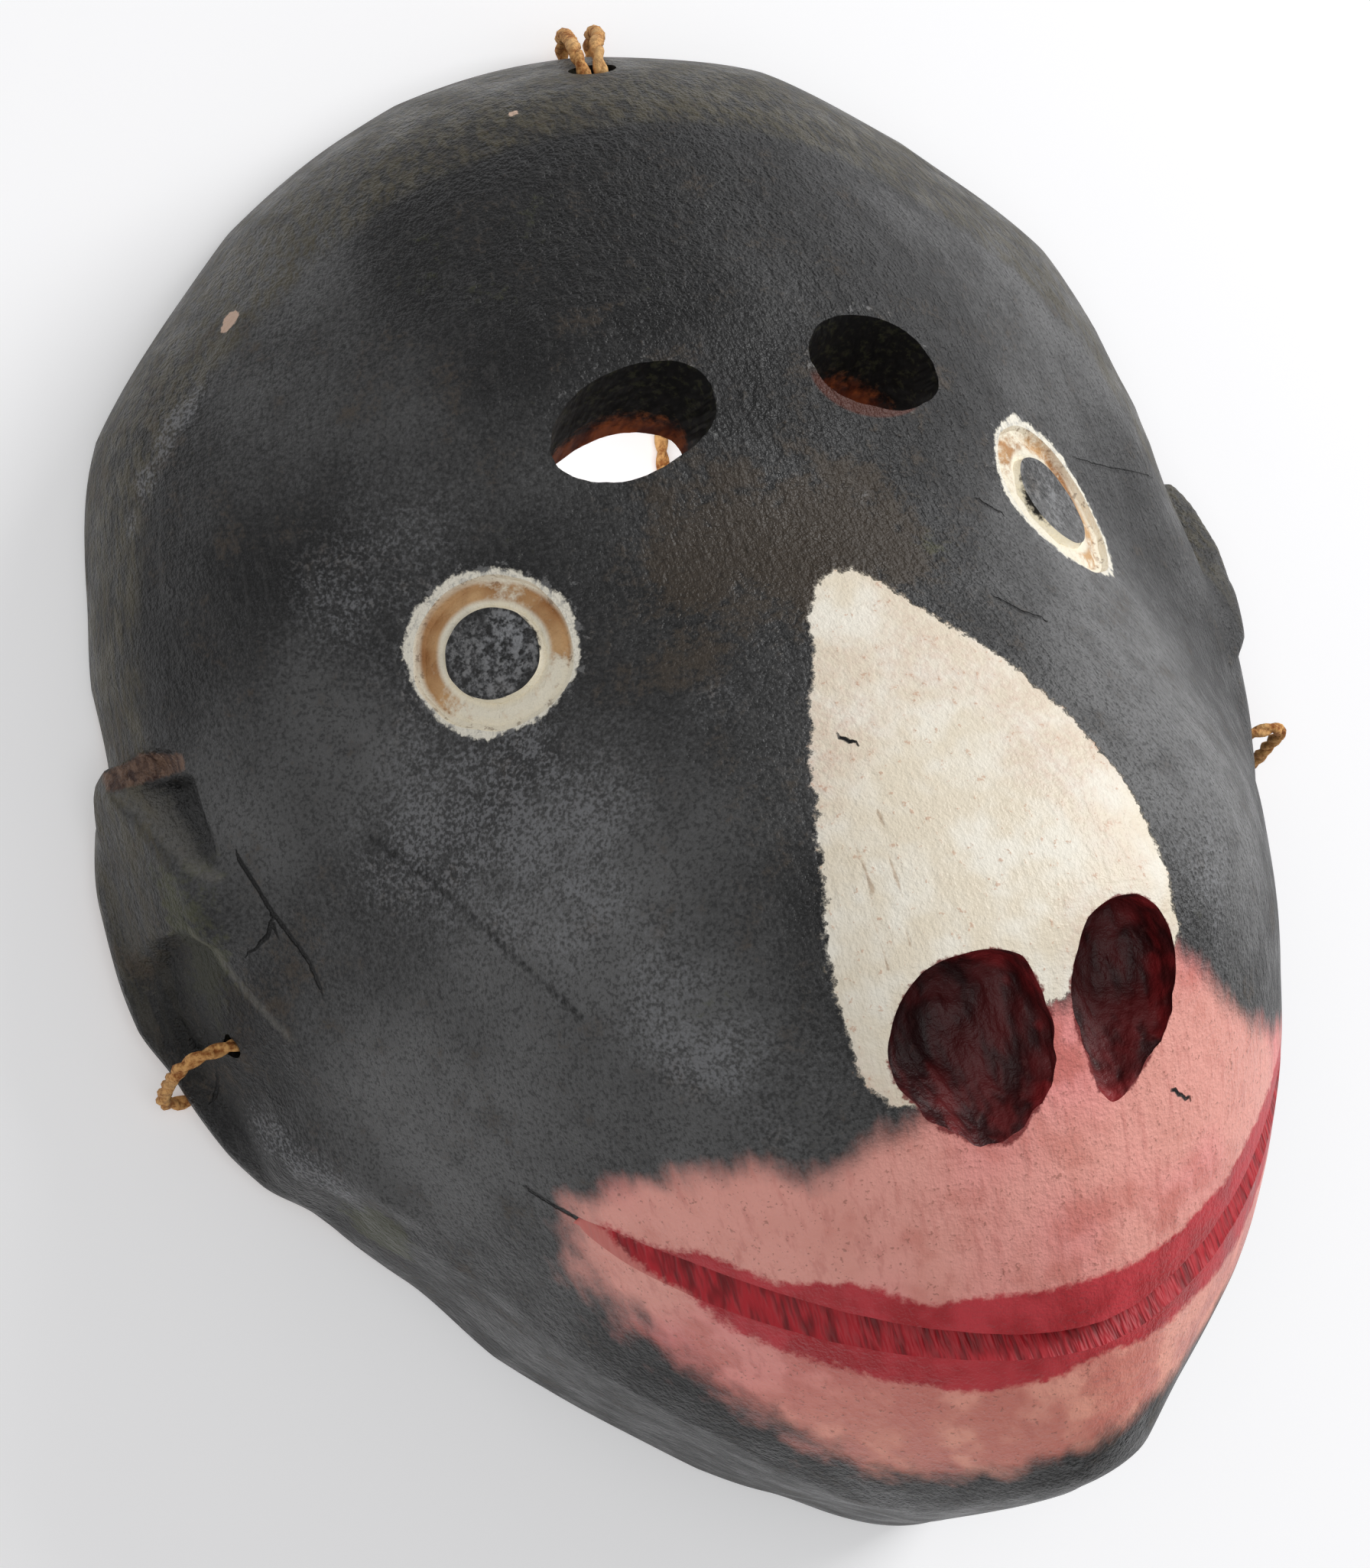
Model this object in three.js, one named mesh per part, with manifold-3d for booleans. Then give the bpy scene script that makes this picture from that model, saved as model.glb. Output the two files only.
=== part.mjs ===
// Carved wooden monkey mask, lying face up on its rim, with its tie cords of twine.
// Millimetres. +X is the viewer's right of the face, +Y the crown, +Z out of the face.
import * as THREE from 'three';
import { mergeVertices } from 'three/addons/utils/BufferGeometryUtils.js';
import Module from 'manifold-3d';

const wasm = await Module();
wasm.setup();

// Rim outline without the ears: degrees round from the crown, distance from the middle.
const OUTLINE = [
  [0, 115.5], [14, 113.5], [30, 108.7], [46, 104.3], [60, 95.8], [74, 89.6], [97, 88],
  [118, 85.1], [130, 84.9], [142, 88.8], [155, 94.9], [168, 104.2], [180, 113.9],
];

// How far the ear widens that outline at the rim, by the same degrees.
const EAR_REACH = [
  [73.5, 0], [77.5, 3.2], [84, 4.8], [90, 4.8], [96, 4.2],
  [101, 3.2], [108, 3.4], [113, 3], [119, 0.4], [122, 0],
];
// The same above the rim band, by place along Y: a blunt lobe in front, a sunken part behind it.
const EAR_UPPER = [
  [-42, 0], [-32, 2.4], [-26, 1.3], [-20, 0.3], [-11, 1], [0.5, 1.1], [3.5, 3.1],
  [6.4, 3.4], [18.8, 3.9], [22, 4.2], [27, 3.6], [29, 0],
];
const EAR_BAND = { low: 3.5, high: 9 };
const LOBE_ARCH = { level: 18, bend: 0.022 };
// Height on the side wall of the ear's upper edge, by place along Y.
const EAR_EDGE = [[-45, 34], [-23, 35], [-5, 32], [7, 29.5], [15, 24.5], [24, 17.5], [30, 14]];
const EAR_BLEND = 5;
// A cut above that edge frees the lobe from the cheek, narrowing to a point.
const EAR_CUT = { depth: 3.2, front: 29, full: 26, point: 6.5, width: 10 };

// The domed outside, and the muzzle lifted out of it, by place along Y.
const DOME = { height: 54.2, crown: 2.98, shoulder: 2.15 };
const MUZZLE_LIFT = [
  [-113.9, 0], [-98, 40.4], [-84, 42.5], [-70, 44.3], [-45, 46.8], [-28, 49.7], [-15, 46.4],
  [10, 32.4], [32, 20.3], [55, 18.7], [80, 11.7], [100, 8.7], [115.5, 0],
];
const MUZZLE_BREADTH = [
  [-100, 75.8], [-75, 79.6], [-50, 84], [-25, 84], [0, 74.2], [30, 64.3], [60, 63.1],
];
const MUZZLE_SQUARENESS = [
  [-100, 1.82], [-75, 2.94], [-50, 2.99], [-25, 2.64], [0, 2.46], [30, 2.13], [60, 2.17],
];
const MUZZLE_EDGE = 0.03;

// The hollow behind: a rounder dome, with a thicker muzzle in front of it.
const RIM_WIDTH = [[0, 15], [40, 19], [75, 14], [130, 12], [180, 13]];
const HOLLOW = { height: 46, crown: 2.2, shoulder: 2, liftLess: 5, breadthLess: 16 };

// The rim's underside: long low arches at the sides, and a worn notch for the crown tie.
const ARCH = { rise: 4, radius: 314, y: -8 };
const NOTCH = { x: 15, y: 110, length: 60, radius: 16, rise: 3.6 };

// Carving
const SIGHT_HOLE = {
  x: 17.7, y: 49.9, halfWidth: 10.6, halfHeight: 7.8, lean: [0.07, -0.38], below: 34, above: 12,
};
const EYE = {
  x: 42.1, y: 26.1, halfWidth: 7.6, halfHeight: 9.3, turn: 0.5, channel: 2.3, depth: 1.2, flat: 0.75,
};
const NOSTRIL = { x: 11.5, y: -39.5, halfWidth: 10.2, halfHeight: 12, depth: 9.5, above: 1.5 };
const MOUTH = {
  y: -76.6, rise: 30, halfWidth: 53.5, curve: 1.76, depth: 3.4, lowerLip: 3.2, flare: 1.6, stations: 22, clear: 4,
};

// Twine, knotted inside the mask at both ear holes and at the crown hole.
const TWINE = 2.2;
const TIE_HOLE = { diameter: 3.6, x: 83, y: -14, z: 21, slope: 0.25, out: 6, into: 22 };
const CROWN_HOLE = { diameter: 7, x: 4.4, y: 106, z: 33.2, slope: 0.34, out: 8, into: 26 };
const TIE_KNOT = { at: [65.4, -14, 15.9], size: [2.6, 2.9, 2.5] };
const TOP_KNOT = { at: [4.4, 86.5, 24.9], size: [4.6, 3.2, 3.2] };
const LEFT_STEPS = 66;
const RIGHT_STEPS = 61;

// Route of the left cord: out through the ear, under the rim, across the floor, over the crown.
const LEFT_ROUTE = [
  [-68, -14, 17.3], [-75, -14, 19], [-81.2, -14, 20.5], [-84.2, -14, 21.3], [-87, -14.1, 21.3],
  [-89.4, -14.7, 19.7], [-90.6, -15.6, 17.1], [-91, -16.5, 13.4], [-91.4, -17.6, 9.8], [-91.6, -18.7, 6.4],
  [-90.9, -19.5, 3.7], [-89, -20.1, 1.9], [-86.5, -20.3, 1.3], [-83.5, -20.3, 1.3], [-72, -18.6, 1.3],
  [-56, -12, 1.3], [-40, -3.6, 1.3], [-24, 6, 1.3], [-10, 18, 1.3], [1, 32, 1.3],
  [7.2, 44, 1.3], [10.6, 55, 1.3], [12.6, 68, 1.3], [13.2, 82, 1.3], [13.2, 96, 1.3],
  [12.9, 110.2, 1.3], [12.8, 113.1, 1.3], [12.6, 115.6, 2], [12.2, 117.4, 3.9], [11.6, 118, 6.6],
  [10.3, 117.3, 11], [8.6, 115.5, 16.5], [6.6, 113, 22.4], [4.9, 110.9, 27], [4, 109.7, 29.7],
  [3.2, 108.1, 31.8], [3.1, 105.9, 32.8], [3.1, 103.2, 32.5], [3.1, 100.3, 31.5], [3.1, 89.1, 27.5],
];
// Route of the right cord, which meets the left one at the crown.
const RIGHT_ROUTE = [
  [68, -14, 17.3], [75, -14, 19], [81.2, -14, 20.5], [84.2, -14, 21.3], [87, -14.1, 21.3],
  [89.4, -14.7, 19.7], [90.6, -15.6, 17.1], [91, -16.5, 13.4], [91.4, -17.6, 9.8], [91.6, -18.7, 6.4],
  [90.9, -19.5, 3.7], [89, -20.1, 1.9], [86.5, -20.3, 1.3], [83.5, -20.2, 1.3], [71, -17.2, 1.3],
  [57, -8.6, 1.3], [45.5, 4, 1.3], [36.8, 19, 1.3], [30.8, 36, 1.3], [26.5, 53, 1.3],
  [22.6, 70, 1.3], [20, 86, 1.3], [18.2, 100, 1.3], [17.4, 109.8, 1.3], [17.3, 112.7, 1.3],
  [17.1, 115.2, 2], [16.8, 117, 3.9], [16.3, 117.6, 6.6], [15.2, 116.9, 11], [13.4, 115, 16.5],
  [11.1, 112.8, 22.4], [8.8, 110.9, 27], [7.5, 109.7, 29.7], [6.4, 108.1, 31.8], [5.8, 105.9, 32.8],
  [5.7, 103.2, 32.5], [5.7, 100.3, 31.5], [5.7, 89.1, 27.5],
];

// Mesh fineness
const RINGS = 22;
const HOLLOW_RINGS = 8;
const PLAIN_STEP = 5.2;
const EAR_STEP = 3;
const EAR_ANGLES = { from: 70, to: 118 };
const EAR_START = 0.6;

const degrees = THREE.MathUtils.degToRad;
const smoothstep = THREE.MathUtils.smoothstep;
const lerp = THREE.MathUtils.lerp;

// A curve through [place, value] pairs that never overshoots them and is level at both ends.
function curveThrough(points) {
  const place = points.map((p) => p[0]);
  const value = points.map((p) => p[1]);
  const last = points.length - 1;
  const gap = [];
  const rise = [];
  for (let i = 0; i < last; i++) {
    gap.push(place[i + 1] - place[i]);
    rise.push((value[i + 1] - value[i]) / gap[i]);
  }
  const slope = [0];
  for (let i = 1; i < last; i++) {
    const before = 2 * gap[i] + gap[i - 1];
    const after = gap[i] + 2 * gap[i - 1];
    const level = rise[i - 1] * rise[i] <= 0;
    slope.push(level ? 0 : (before + after) / (before / rise[i - 1] + after / rise[i]));
  }
  slope.push(0);
  return (at) => {
    const x = THREE.MathUtils.clamp(at, place[0], place[last]);
    let i = 0;
    while (i < last - 1 && x > place[i + 1]) i++;
    const t = (x - place[i]) / gap[i];
    const s = 1 - t;
    return (1 + 2 * t) * s * s * value[i] + t * s * s * gap[i] * slope[i]
      + t * t * (3 - 2 * t) * value[i + 1] - t * t * s * gap[i] * slope[i + 1];
  };
}

const outlineAt = curveThrough(OUTLINE);
const earReachAt = curveThrough(EAR_REACH);
const earUpperAt = curveThrough(EAR_UPPER);
const earEdgeAt = curveThrough(EAR_EDGE);
const liftAt = curveThrough(MUZZLE_LIFT);
const breadthAt = curveThrough(MUZZLE_BREADTH);
const squarenessAt = curveThrough(MUZZLE_SQUARENESS);
const rimWidthAt = curveThrough(RIM_WIDTH);

function angleFromCrown(x, y) {
  return THREE.MathUtils.radToDeg(Math.atan2(Math.abs(x), y));
}

function domed(shape, fraction) {
  return shape.height * Math.max(1 - fraction ** shape.crown, 0) ** (1 / shape.shoulder);
}

function muzzleShare(x, y, breadth) {
  const across = Math.min(Math.abs(x) / breadth, 1);
  return (1 - across ** squarenessAt(y)) ** 2;
}

// Height of the outside over the point x, y
function outsideHeight(x, y) {
  const fraction = Math.min(Math.hypot(x, y) / outlineAt(angleFromCrown(x, y)), 1);
  const edge = Math.min((1 - fraction) / MUZZLE_EDGE, 1);
  return domed(DOME, fraction) + liftAt(y) * muzzleShare(x, y, breadthAt(y)) * edge;
}

// Height of the hollow's roof over the point x, y
function hollowHeight(x, y) {
  const angle = angleFromCrown(x, y);
  const fraction = Math.min(Math.hypot(x, y) / (outlineAt(angle) - rimWidthAt(angle)), 1);
  const edge = Math.min((1 - fraction) / MUZZLE_EDGE, 1);
  const lift = Math.max(liftAt(y) - HOLLOW.liftLess, 0);
  const share = muzzleShare(x, y, breadthAt(y) - HOLLOW.breadthLess);
  return domed(HOLLOW, fraction) + lift * share * edge;
}

// Outward direction of the outside at x, y
function outwardAt(x, y) {
  const h = 0.5;
  const dx = (outsideHeight(x + h, y) - outsideHeight(x - h, y)) / (2 * h);
  const dy = (outsideHeight(x, y + h) - outsideHeight(x, y - h)) / (2 * h);
  return new THREE.Vector3(-dx, -dy, 1).normalize();
}

// How far the ear pushes the side wall out, or its cut takes it in, at a point of the wall
function earPush(angle, y, z) {
  const edge = earEdgeAt(y);
  const arched = y + LOBE_ARCH.bend * (z - LOBE_ARCH.level) ** 2;
  const upper = smoothstep(z, EAR_BAND.low, EAR_BAND.high);
  const reach = lerp(earReachAt(angle), earUpperAt(arched), upper);
  const below = smoothstep((edge - z) / EAR_BLEND, -0.5, 0.5);
  const taper = THREE.MathUtils.clamp((y - EAR_CUT.point) / (EAR_CUT.full - EAR_CUT.point), 0, 1);
  const across = Math.min(Math.abs(z - edge) / (EAR_CUT.width * taper + 1), 1);
  const inFront = smoothstep(EAR_CUT.front - y, 0, EAR_CUT.front - EAR_CUT.full);
  return reach * below - EAR_CUT.depth * taper * inFront * (1 - across) * (1 - below);
}

// Angles round the rim, closer together at the ears
function rimAngles() {
  const right = [];
  for (let a = 0; a < EAR_ANGLES.from; a += PLAIN_STEP) right.push(a);
  for (let a = EAR_ANGLES.from; a < EAR_ANGLES.to; a += EAR_STEP) right.push(a);
  const rest = 180 - EAR_ANGLES.to;
  const steps = Math.ceil(rest / PLAIN_STEP);
  for (let i = 0; i <= steps; i++) right.push(EAR_ANGLES.to + (i / steps) * rest);
  const left = right.slice(1, -1).reverse().map((a) => 360 - a);
  return [...right, ...left];
}

// A geometry from points and triangle corners, turned so that its faces look outwards
function closedGeometry(points, triangles) {
  let volume = 0;
  for (let i = 0; i < triangles.length; i += 3) {
    const [a, b, c] = [points[triangles[i]], points[triangles[i + 1]], points[triangles[i + 2]]];
    volume += a.dot(new THREE.Vector3().crossVectors(b, c));
  }
  const corners = volume < 0 ? triangles.slice().reverse() : triangles;
  const geometry = new THREE.BufferGeometry();
  const coordinates = points.flatMap((p) => [p.x, p.y, p.z]);
  geometry.setAttribute('position', new THREE.Float32BufferAttribute(coordinates, 3));
  geometry.setIndex(corners);
  return geometry;
}

// A closed solid from rings of equal point counts, with a flat fan on each end
function loft(rings) {
  const points = rings.flat();
  const count = rings[0].length;
  const triangles = [];
  for (let r = 0; r < rings.length - 1; r++) {
    for (let i = 0; i < count; i++) {
      const a = r * count + i;
      const b = r * count + ((i + 1) % count);
      triangles.push(a, b, a + count, b, b + count, a + count);
    }
  }
  const end = (rings.length - 1) * count;
  for (let i = 1; i < count - 1; i++) {
    triangles.push(0, i + 1, i);
    triangles.push(end, end + i, end + i + 1);
  }
  return closedGeometry(points, triangles);
}

// The mask before carving: outside, rim and hollow as one closed skin
function blankGeometry() {
  const angles = rimAngles();
  const count = angles.length;
  const points = [new THREE.Vector3(0, 0, outsideHeight(0, 0))];
  const triangles = [];

  function addRing(pointAt) {
    for (const degreesRound of angles) points.push(pointAt(degreesRound));
  }
  function joinRings(outerStart, innerStart) {
    for (let i = 0; i < count; i++) {
      const next = (i + 1) % count;
      triangles.push(innerStart + i, outerStart + next, outerStart + i);
      triangles.push(innerStart + i, innerStart + next, outerStart + next);
    }
  }
  function outsidePoint(degreesRound, fraction) {
    const folded = degreesRound > 180 ? 360 - degreesRound : degreesRound;
    const round = degrees(degreesRound);
    const reach = fraction * outlineAt(folded);
    const x = reach * Math.sin(round);
    const y = reach * Math.cos(round);
    const z = fraction < 1 ? outsideHeight(x, y) : 0;
    const push = fraction > EAR_START ? earPush(folded, y, z) : 0;
    return new THREE.Vector3(x + push * Math.sin(round), y + push * Math.cos(round), z);
  }
  function hollowPoint(degreesRound, fraction) {
    const folded = degreesRound > 180 ? 360 - degreesRound : degreesRound;
    const round = degrees(degreesRound);
    const reach = fraction * (outlineAt(folded) - rimWidthAt(folded));
    const x = reach * Math.sin(round);
    const y = reach * Math.cos(round);
    return new THREE.Vector3(x, y, fraction < 1 ? hollowHeight(x, y) : 0);
  }

  let start = 1;
  for (let k = 1; k <= RINGS; k++) {
    const fraction = Math.sin((Math.PI / 2) * (k / RINGS));
    addRing((a) => outsidePoint(a, fraction));
    if (k > 1) joinRings(start, start - count);
    start += count;
  }
  for (let i = 0; i < count; i++) triangles.push(0, 1 + ((i + 1) % count), 1 + i);
  for (let k = HOLLOW_RINGS; k >= 1; k--) {
    const fraction = Math.sin((Math.PI / 2) * (k / HOLLOW_RINGS));
    addRing((a) => hollowPoint(a, fraction));
    joinRings(start, start - count);
    start += count;
  }
  const roof = points.length;
  points.push(new THREE.Vector3(0, 0, hollowHeight(0, 0)));
  for (let i = 0; i < count; i++) {
    triangles.push(roof, start - count + i, start - count + ((i + 1) % count));
  }
  return closedGeometry(points, triangles);
}

function toManifold(geometry) {
  const bare = geometry.clone();
  bare.deleteAttribute('normal');
  bare.deleteAttribute('uv');
  const merged = mergeVertices(bare, 1e-4);
  const vertProperties = new Float32Array(merged.attributes.position.array);
  const triVerts = new Uint32Array(merged.index.array);
  return new wasm.Manifold(new wasm.Mesh({ numProp: 3, vertProperties, triVerts }));
}

function toGeometry(solid) {
  const mesh = solid.getMesh();
  const geometry = new THREE.BufferGeometry();
  geometry.setAttribute('position', new THREE.Float32BufferAttribute(mesh.vertProperties, 3));
  geometry.setIndex(Array.from(mesh.triVerts));
  geometry.computeVertexNormals();
  return geometry;
}

// A round rod between two points
function rod(from, to, diameter, sides) {
  const along = new THREE.Vector3().subVectors(to, from);
  const geometry = new THREE.CylinderGeometry(diameter / 2, diameter / 2, along.length(), sides);
  const up = new THREE.Vector3(0, 1, 0);
  const turn = new THREE.Quaternion().setFromUnitVectors(up, along.clone().normalize());
  geometry.applyQuaternion(turn);
  const middle = new THREE.Vector3().addVectors(from, to).multiplyScalar(0.5);
  return geometry.translate(middle.x, middle.y, middle.z);
}

// Oval see-through hole, leaning down and outwards as it goes in
function sightHoleCutter(side) {
  const { x, y, halfWidth, halfHeight, lean, below, above } = SIGHT_HOLE;
  const sides = 24;
  const surface = outsideHeight(x, y);
  const ring = (drop) => {
    const points = [];
    for (let i = 0; i < sides; i++) {
      const a = (i / sides) * 2 * Math.PI;
      const px = x + drop * lean[0] + halfWidth * Math.cos(a);
      const py = y + drop * lean[1] + halfHeight * Math.sin(a);
      points.push(new THREE.Vector3(side * px, py, surface - drop));
    }
    return points;
  };
  return loft([ring(below), ring(-above)]);
}

// Channel round the raised pupil
function eyeCutter(side) {
  const geometry = new THREE.TorusGeometry(1, EYE.channel / EYE.halfWidth, 5, 20);
  geometry.scale(EYE.halfWidth, EYE.halfHeight, EYE.halfWidth * EYE.flat);
  geometry.rotateZ(side * EYE.turn);
  const out = outwardAt(side * EYE.x, EYE.y);
  geometry.applyQuaternion(new THREE.Quaternion().setFromUnitVectors(new THREE.Vector3(0, 0, 1), out));
  const middle = new THREE.Vector3(side * EYE.x, EYE.y, outsideHeight(EYE.x, EYE.y));
  middle.addScaledVector(out, EYE.channel * EYE.flat - EYE.depth);
  return geometry.translate(middle.x, middle.y, middle.z);
}

function nostrilCutter(side) {
  const geometry = new THREE.SphereGeometry(1, 16, 10);
  geometry.rotateX(Math.PI / 2);
  geometry.scale(NOSTRIL.halfWidth, NOSTRIL.halfHeight, NOSTRIL.depth + NOSTRIL.above);
  const surface = outsideHeight(NOSTRIL.x, NOSTRIL.y);
  return geometry.translate(side * NOSTRIL.x, NOSTRIL.y, surface + NOSTRIL.above);
}

function mouthLine(x) {
  return MOUTH.y + MOUTH.rise * (Math.abs(x) / MOUTH.halfWidth) ** MOUTH.curve;
}

// Stepped smile: a steep cut under the upper lip, rising again to the lower lip
function mouthCutter() {
  const rings = [];
  for (let i = 0; i <= MOUTH.stations; i++) {
    const x = MOUTH.halfWidth * Math.sin(((i / MOUTH.stations) * 2 - 1) * Math.PI / 2);
    const y = mouthLine(x);
    const lip = new THREE.Vector3(x, y, outsideHeight(x, y));
    const lipOut = outwardAt(x, y);
    const open = Math.max(1 - (x / MOUTH.halfWidth) ** 2, 0.02);
    const slope = mouthLine(x + 0.5) - mouthLine(x - 0.5);
    const chinward = new THREE.Vector3(slope, -1, 0).normalize();
    const reach = MOUTH.lowerLip * (1 + MOUTH.flare * (x / MOUTH.halfWidth) ** 2) * open ** 0.6;
    const lowX = x + chinward.x * reach;
    const lowY = y + chinward.y * reach;
    const low = new THREE.Vector3(lowX, lowY, outsideHeight(lowX, lowY));
    const lowOut = outwardAt(lowX, lowY);
    rings.push([
      lip.clone().addScaledVector(lipOut, MOUTH.clear),
      lip.clone().addScaledVector(lipOut, -MOUTH.depth * Math.sqrt(open)),
      low.clone(),
      low.clone().addScaledVector(lowOut, MOUTH.clear),
    ]);
  }
  return loft(rings);
}

function tieHoleCutter(side) {
  const { diameter, x, y, z, slope, out, into } = TIE_HOLE;
  const from = new THREE.Vector3(side * (x + out), y, z + out * slope);
  const to = new THREE.Vector3(side * (x - into), y, z - into * slope);
  return rod(from, to, diameter, 8);
}

function crownHoleCutter() {
  const { diameter, x, y, z, slope, out, into } = CROWN_HOLE;
  const from = new THREE.Vector3(x, y + out, z + out * slope);
  const to = new THREE.Vector3(x, y - into, z - into * slope);
  return rod(from, to, diameter, 12);
}

function archCutter() {
  const geometry = new THREE.CylinderGeometry(ARCH.radius, ARCH.radius, 240, 150);
  geometry.rotateZ(Math.PI / 2);
  return geometry.translate(0, ARCH.y, ARCH.rise - ARCH.radius);
}

function notchCutter() {
  const geometry = new THREE.CylinderGeometry(NOTCH.radius, NOTCH.radius, NOTCH.length, 32);
  return geometry.translate(NOTCH.x, NOTCH.y, NOTCH.rise - NOTCH.radius);
}

function maskSolid() {
  let solid = toManifold(blankGeometry());
  const cutters = [mouthCutter(), crownHoleCutter(), archCutter(), notchCutter()];
  for (const side of [-1, 1]) {
    cutters.push(sightHoleCutter(side), eyeCutter(side), nostrilCutter(side), tieHoleCutter(side));
  }
  for (const cutter of cutters) {
    solid = solid.subtract(toManifold(cutter));
  }
  return solid;
}

// Twine along a smooth route
function cordGeometry(route, steps) {
  const section = new THREE.Shape();
  const sides = 8;
  for (let i = 0; i < sides; i++) {
    const a = (i / sides) * 2 * Math.PI;
    const x = (TWINE / 2) * Math.cos(a);
    const y = (TWINE / 2) * Math.sin(a);
    if (i === 0) section.moveTo(x, y); else section.lineTo(x, y);
  }
  section.closePath();
  const extrudePath = new THREE.CatmullRomCurve3(route.map((p) => new THREE.Vector3(...p)));
  return new THREE.ExtrudeGeometry(section, { steps, extrudePath, bevelEnabled: false });
}

function knotGeometry(knot, side) {
  const geometry = new THREE.IcosahedronGeometry(1, 1);
  geometry.scale(...knot.size);
  return geometry.translate(side * knot.at[0], knot.at[1], knot.at[2]);
}

const mask = new THREE.Group();

function addPart(name, geometry, material) {
  const mesh = new THREE.Mesh(geometry, material);
  mesh.name = name;
  mask.add(mesh);
}

function twineMaterial() {
  return new THREE.MeshStandardMaterial({ color: 0xb98248, roughness: 0.9, metalness: 0 });
}

const paintedWood = new THREE.MeshStandardMaterial({ color: 0x3c3c3e, roughness: 0.62, metalness: 0 });
addPart('mask_body', toGeometry(maskSolid()), paintedWood);
addPart('left_cord', cordGeometry(LEFT_ROUTE, LEFT_STEPS), twineMaterial());
addPart('right_cord', cordGeometry(RIGHT_ROUTE, RIGHT_STEPS), twineMaterial());
addPart('left_knot', knotGeometry(TIE_KNOT, -1), twineMaterial());
addPart('right_knot', knotGeometry(TIE_KNOT, 1), twineMaterial());
addPart('top_knot', knotGeometry(TOP_KNOT, 1), twineMaterial());

export default mask;
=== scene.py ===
"""Looks of the carved wooden monkey mask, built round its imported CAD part.

Tables are in millimetres in the CAD part's frame, and meshes are made in metres.
"""
import math

import bmesh
import bpy
import numpy as np
from mathutils import Matrix, Vector, noise


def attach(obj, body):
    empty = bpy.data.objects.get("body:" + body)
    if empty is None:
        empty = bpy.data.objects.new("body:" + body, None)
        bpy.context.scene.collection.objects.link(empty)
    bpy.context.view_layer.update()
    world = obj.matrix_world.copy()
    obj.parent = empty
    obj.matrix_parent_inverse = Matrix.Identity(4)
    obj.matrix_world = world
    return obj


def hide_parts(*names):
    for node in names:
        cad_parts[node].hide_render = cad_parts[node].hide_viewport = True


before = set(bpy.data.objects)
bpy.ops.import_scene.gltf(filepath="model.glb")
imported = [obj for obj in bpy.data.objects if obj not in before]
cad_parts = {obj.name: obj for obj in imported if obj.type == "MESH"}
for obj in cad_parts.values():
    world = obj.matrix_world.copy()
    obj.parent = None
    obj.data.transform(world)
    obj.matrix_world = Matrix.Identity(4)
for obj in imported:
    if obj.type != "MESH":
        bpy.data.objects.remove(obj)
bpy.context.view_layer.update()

MM = 0.001

# ---- camera

CAMERA_AT = (-154.94, -2.12, 429.16)
CAMERA_RIGHT = (0.9039, -0.2834, 0.3204)
CAMERA_DOWN = (-0.2628, -0.9589, -0.1066)
CAMERA_FORWARD = (0.3374, 0.0122, -0.9413)
LENS = 68.39
SENSOR = 36
CLIP_M = (0.01, 20)


def make_camera():
    data = bpy.data.cameras.new("camera")
    data.lens = LENS
    data.sensor_width = SENSOR
    data.clip_start, data.clip_end = CLIP_M
    camera = bpy.data.objects.new("camera", data)
    bpy.context.scene.collection.objects.link(camera)
    axes = (Vector(CAMERA_RIGHT), -Vector(CAMERA_DOWN), -Vector(CAMERA_FORWARD))
    turn = Matrix(axes).transposed()
    camera.matrix_world = Matrix.Translation(Vector(CAMERA_AT) * MM) @ turn.to_4x4()
    bpy.context.scene.camera = camera


make_camera()

# ---- mesh helpers


def mesh_object(name, points, faces, materials=(), face_materials=None, smooth=True):
    """An object from points in millimetres and its faces."""
    mesh = bpy.data.meshes.new(name)
    mesh.from_pydata((np.asarray(points, float) * MM).tolist(), [], faces)
    for material in materials:
        mesh.materials.append(material)
    if face_materials is not None:
        mesh.polygons.foreach_set("material_index", face_materials)
    mesh.polygons.foreach_set("use_smooth", [smooth] * len(mesh.polygons))
    mesh.update()
    obj = bpy.data.objects.new(name, mesh)
    bpy.context.scene.collection.objects.link(obj)
    return obj


def outward(points, faces):
    """The faces of a closed mesh, turned round if they look inwards."""
    volume = 0.0
    for face in faces:
        a = points[face[0]]
        for i in range(1, len(face) - 1):
            volume += np.dot(a, np.cross(points[face[i]], points[face[i + 1]]))
    return faces if volume > 0 else [tuple(reversed(face)) for face in faces]


def loft(rings, joined=False):
    """Points and faces of a solid through rings, capped or with the last joined to the first."""
    count, total = len(rings[0]), len(rings)
    points = np.concatenate([np.asarray(ring, float) for ring in rings])
    faces = []
    for r in range(total if joined else total - 1):
        low, high = r * count, (r + 1) % total * count
        for i in range(count):
            j = (i + 1) % count
            faces.append((low + i, low + j, high + j, high + i))
    if not joined:
        faces.append(tuple(reversed(range(count))))
        faces.append(tuple(range((total - 1) * count, total * count)))
    return points, outward(points, faces)


def merged(solids):
    """The points and faces of several solids as those of one mesh."""
    points, faces = [], []
    for own_points, own_faces in solids:
        faces += [tuple(len(points) + i for i in face) for face in own_faces]
        points += list(own_points)
    return points, faces


def circle(count):
    """Cosine and sine of angles that lie evenly round a circle."""
    angles = (2 * math.pi * i / count for i in range(count))
    return [(math.cos(a), math.sin(a)) for a in angles]


def wobble(*place):
    return noise.noise(Vector(place))


# ---- twine

PLY_RADIUS = 0.74
PLY_OFFSET = 0.36
PLY_SIDES = 8
TWIST_LENGTH = 7
TWINE_STEP = 0.9
SWELLING = {"by": 0.09, "pace": 0.35, "ply_apart": 7.3}
KNOT_POINTS = 90
KNOT_PROUD = 0.5

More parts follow.
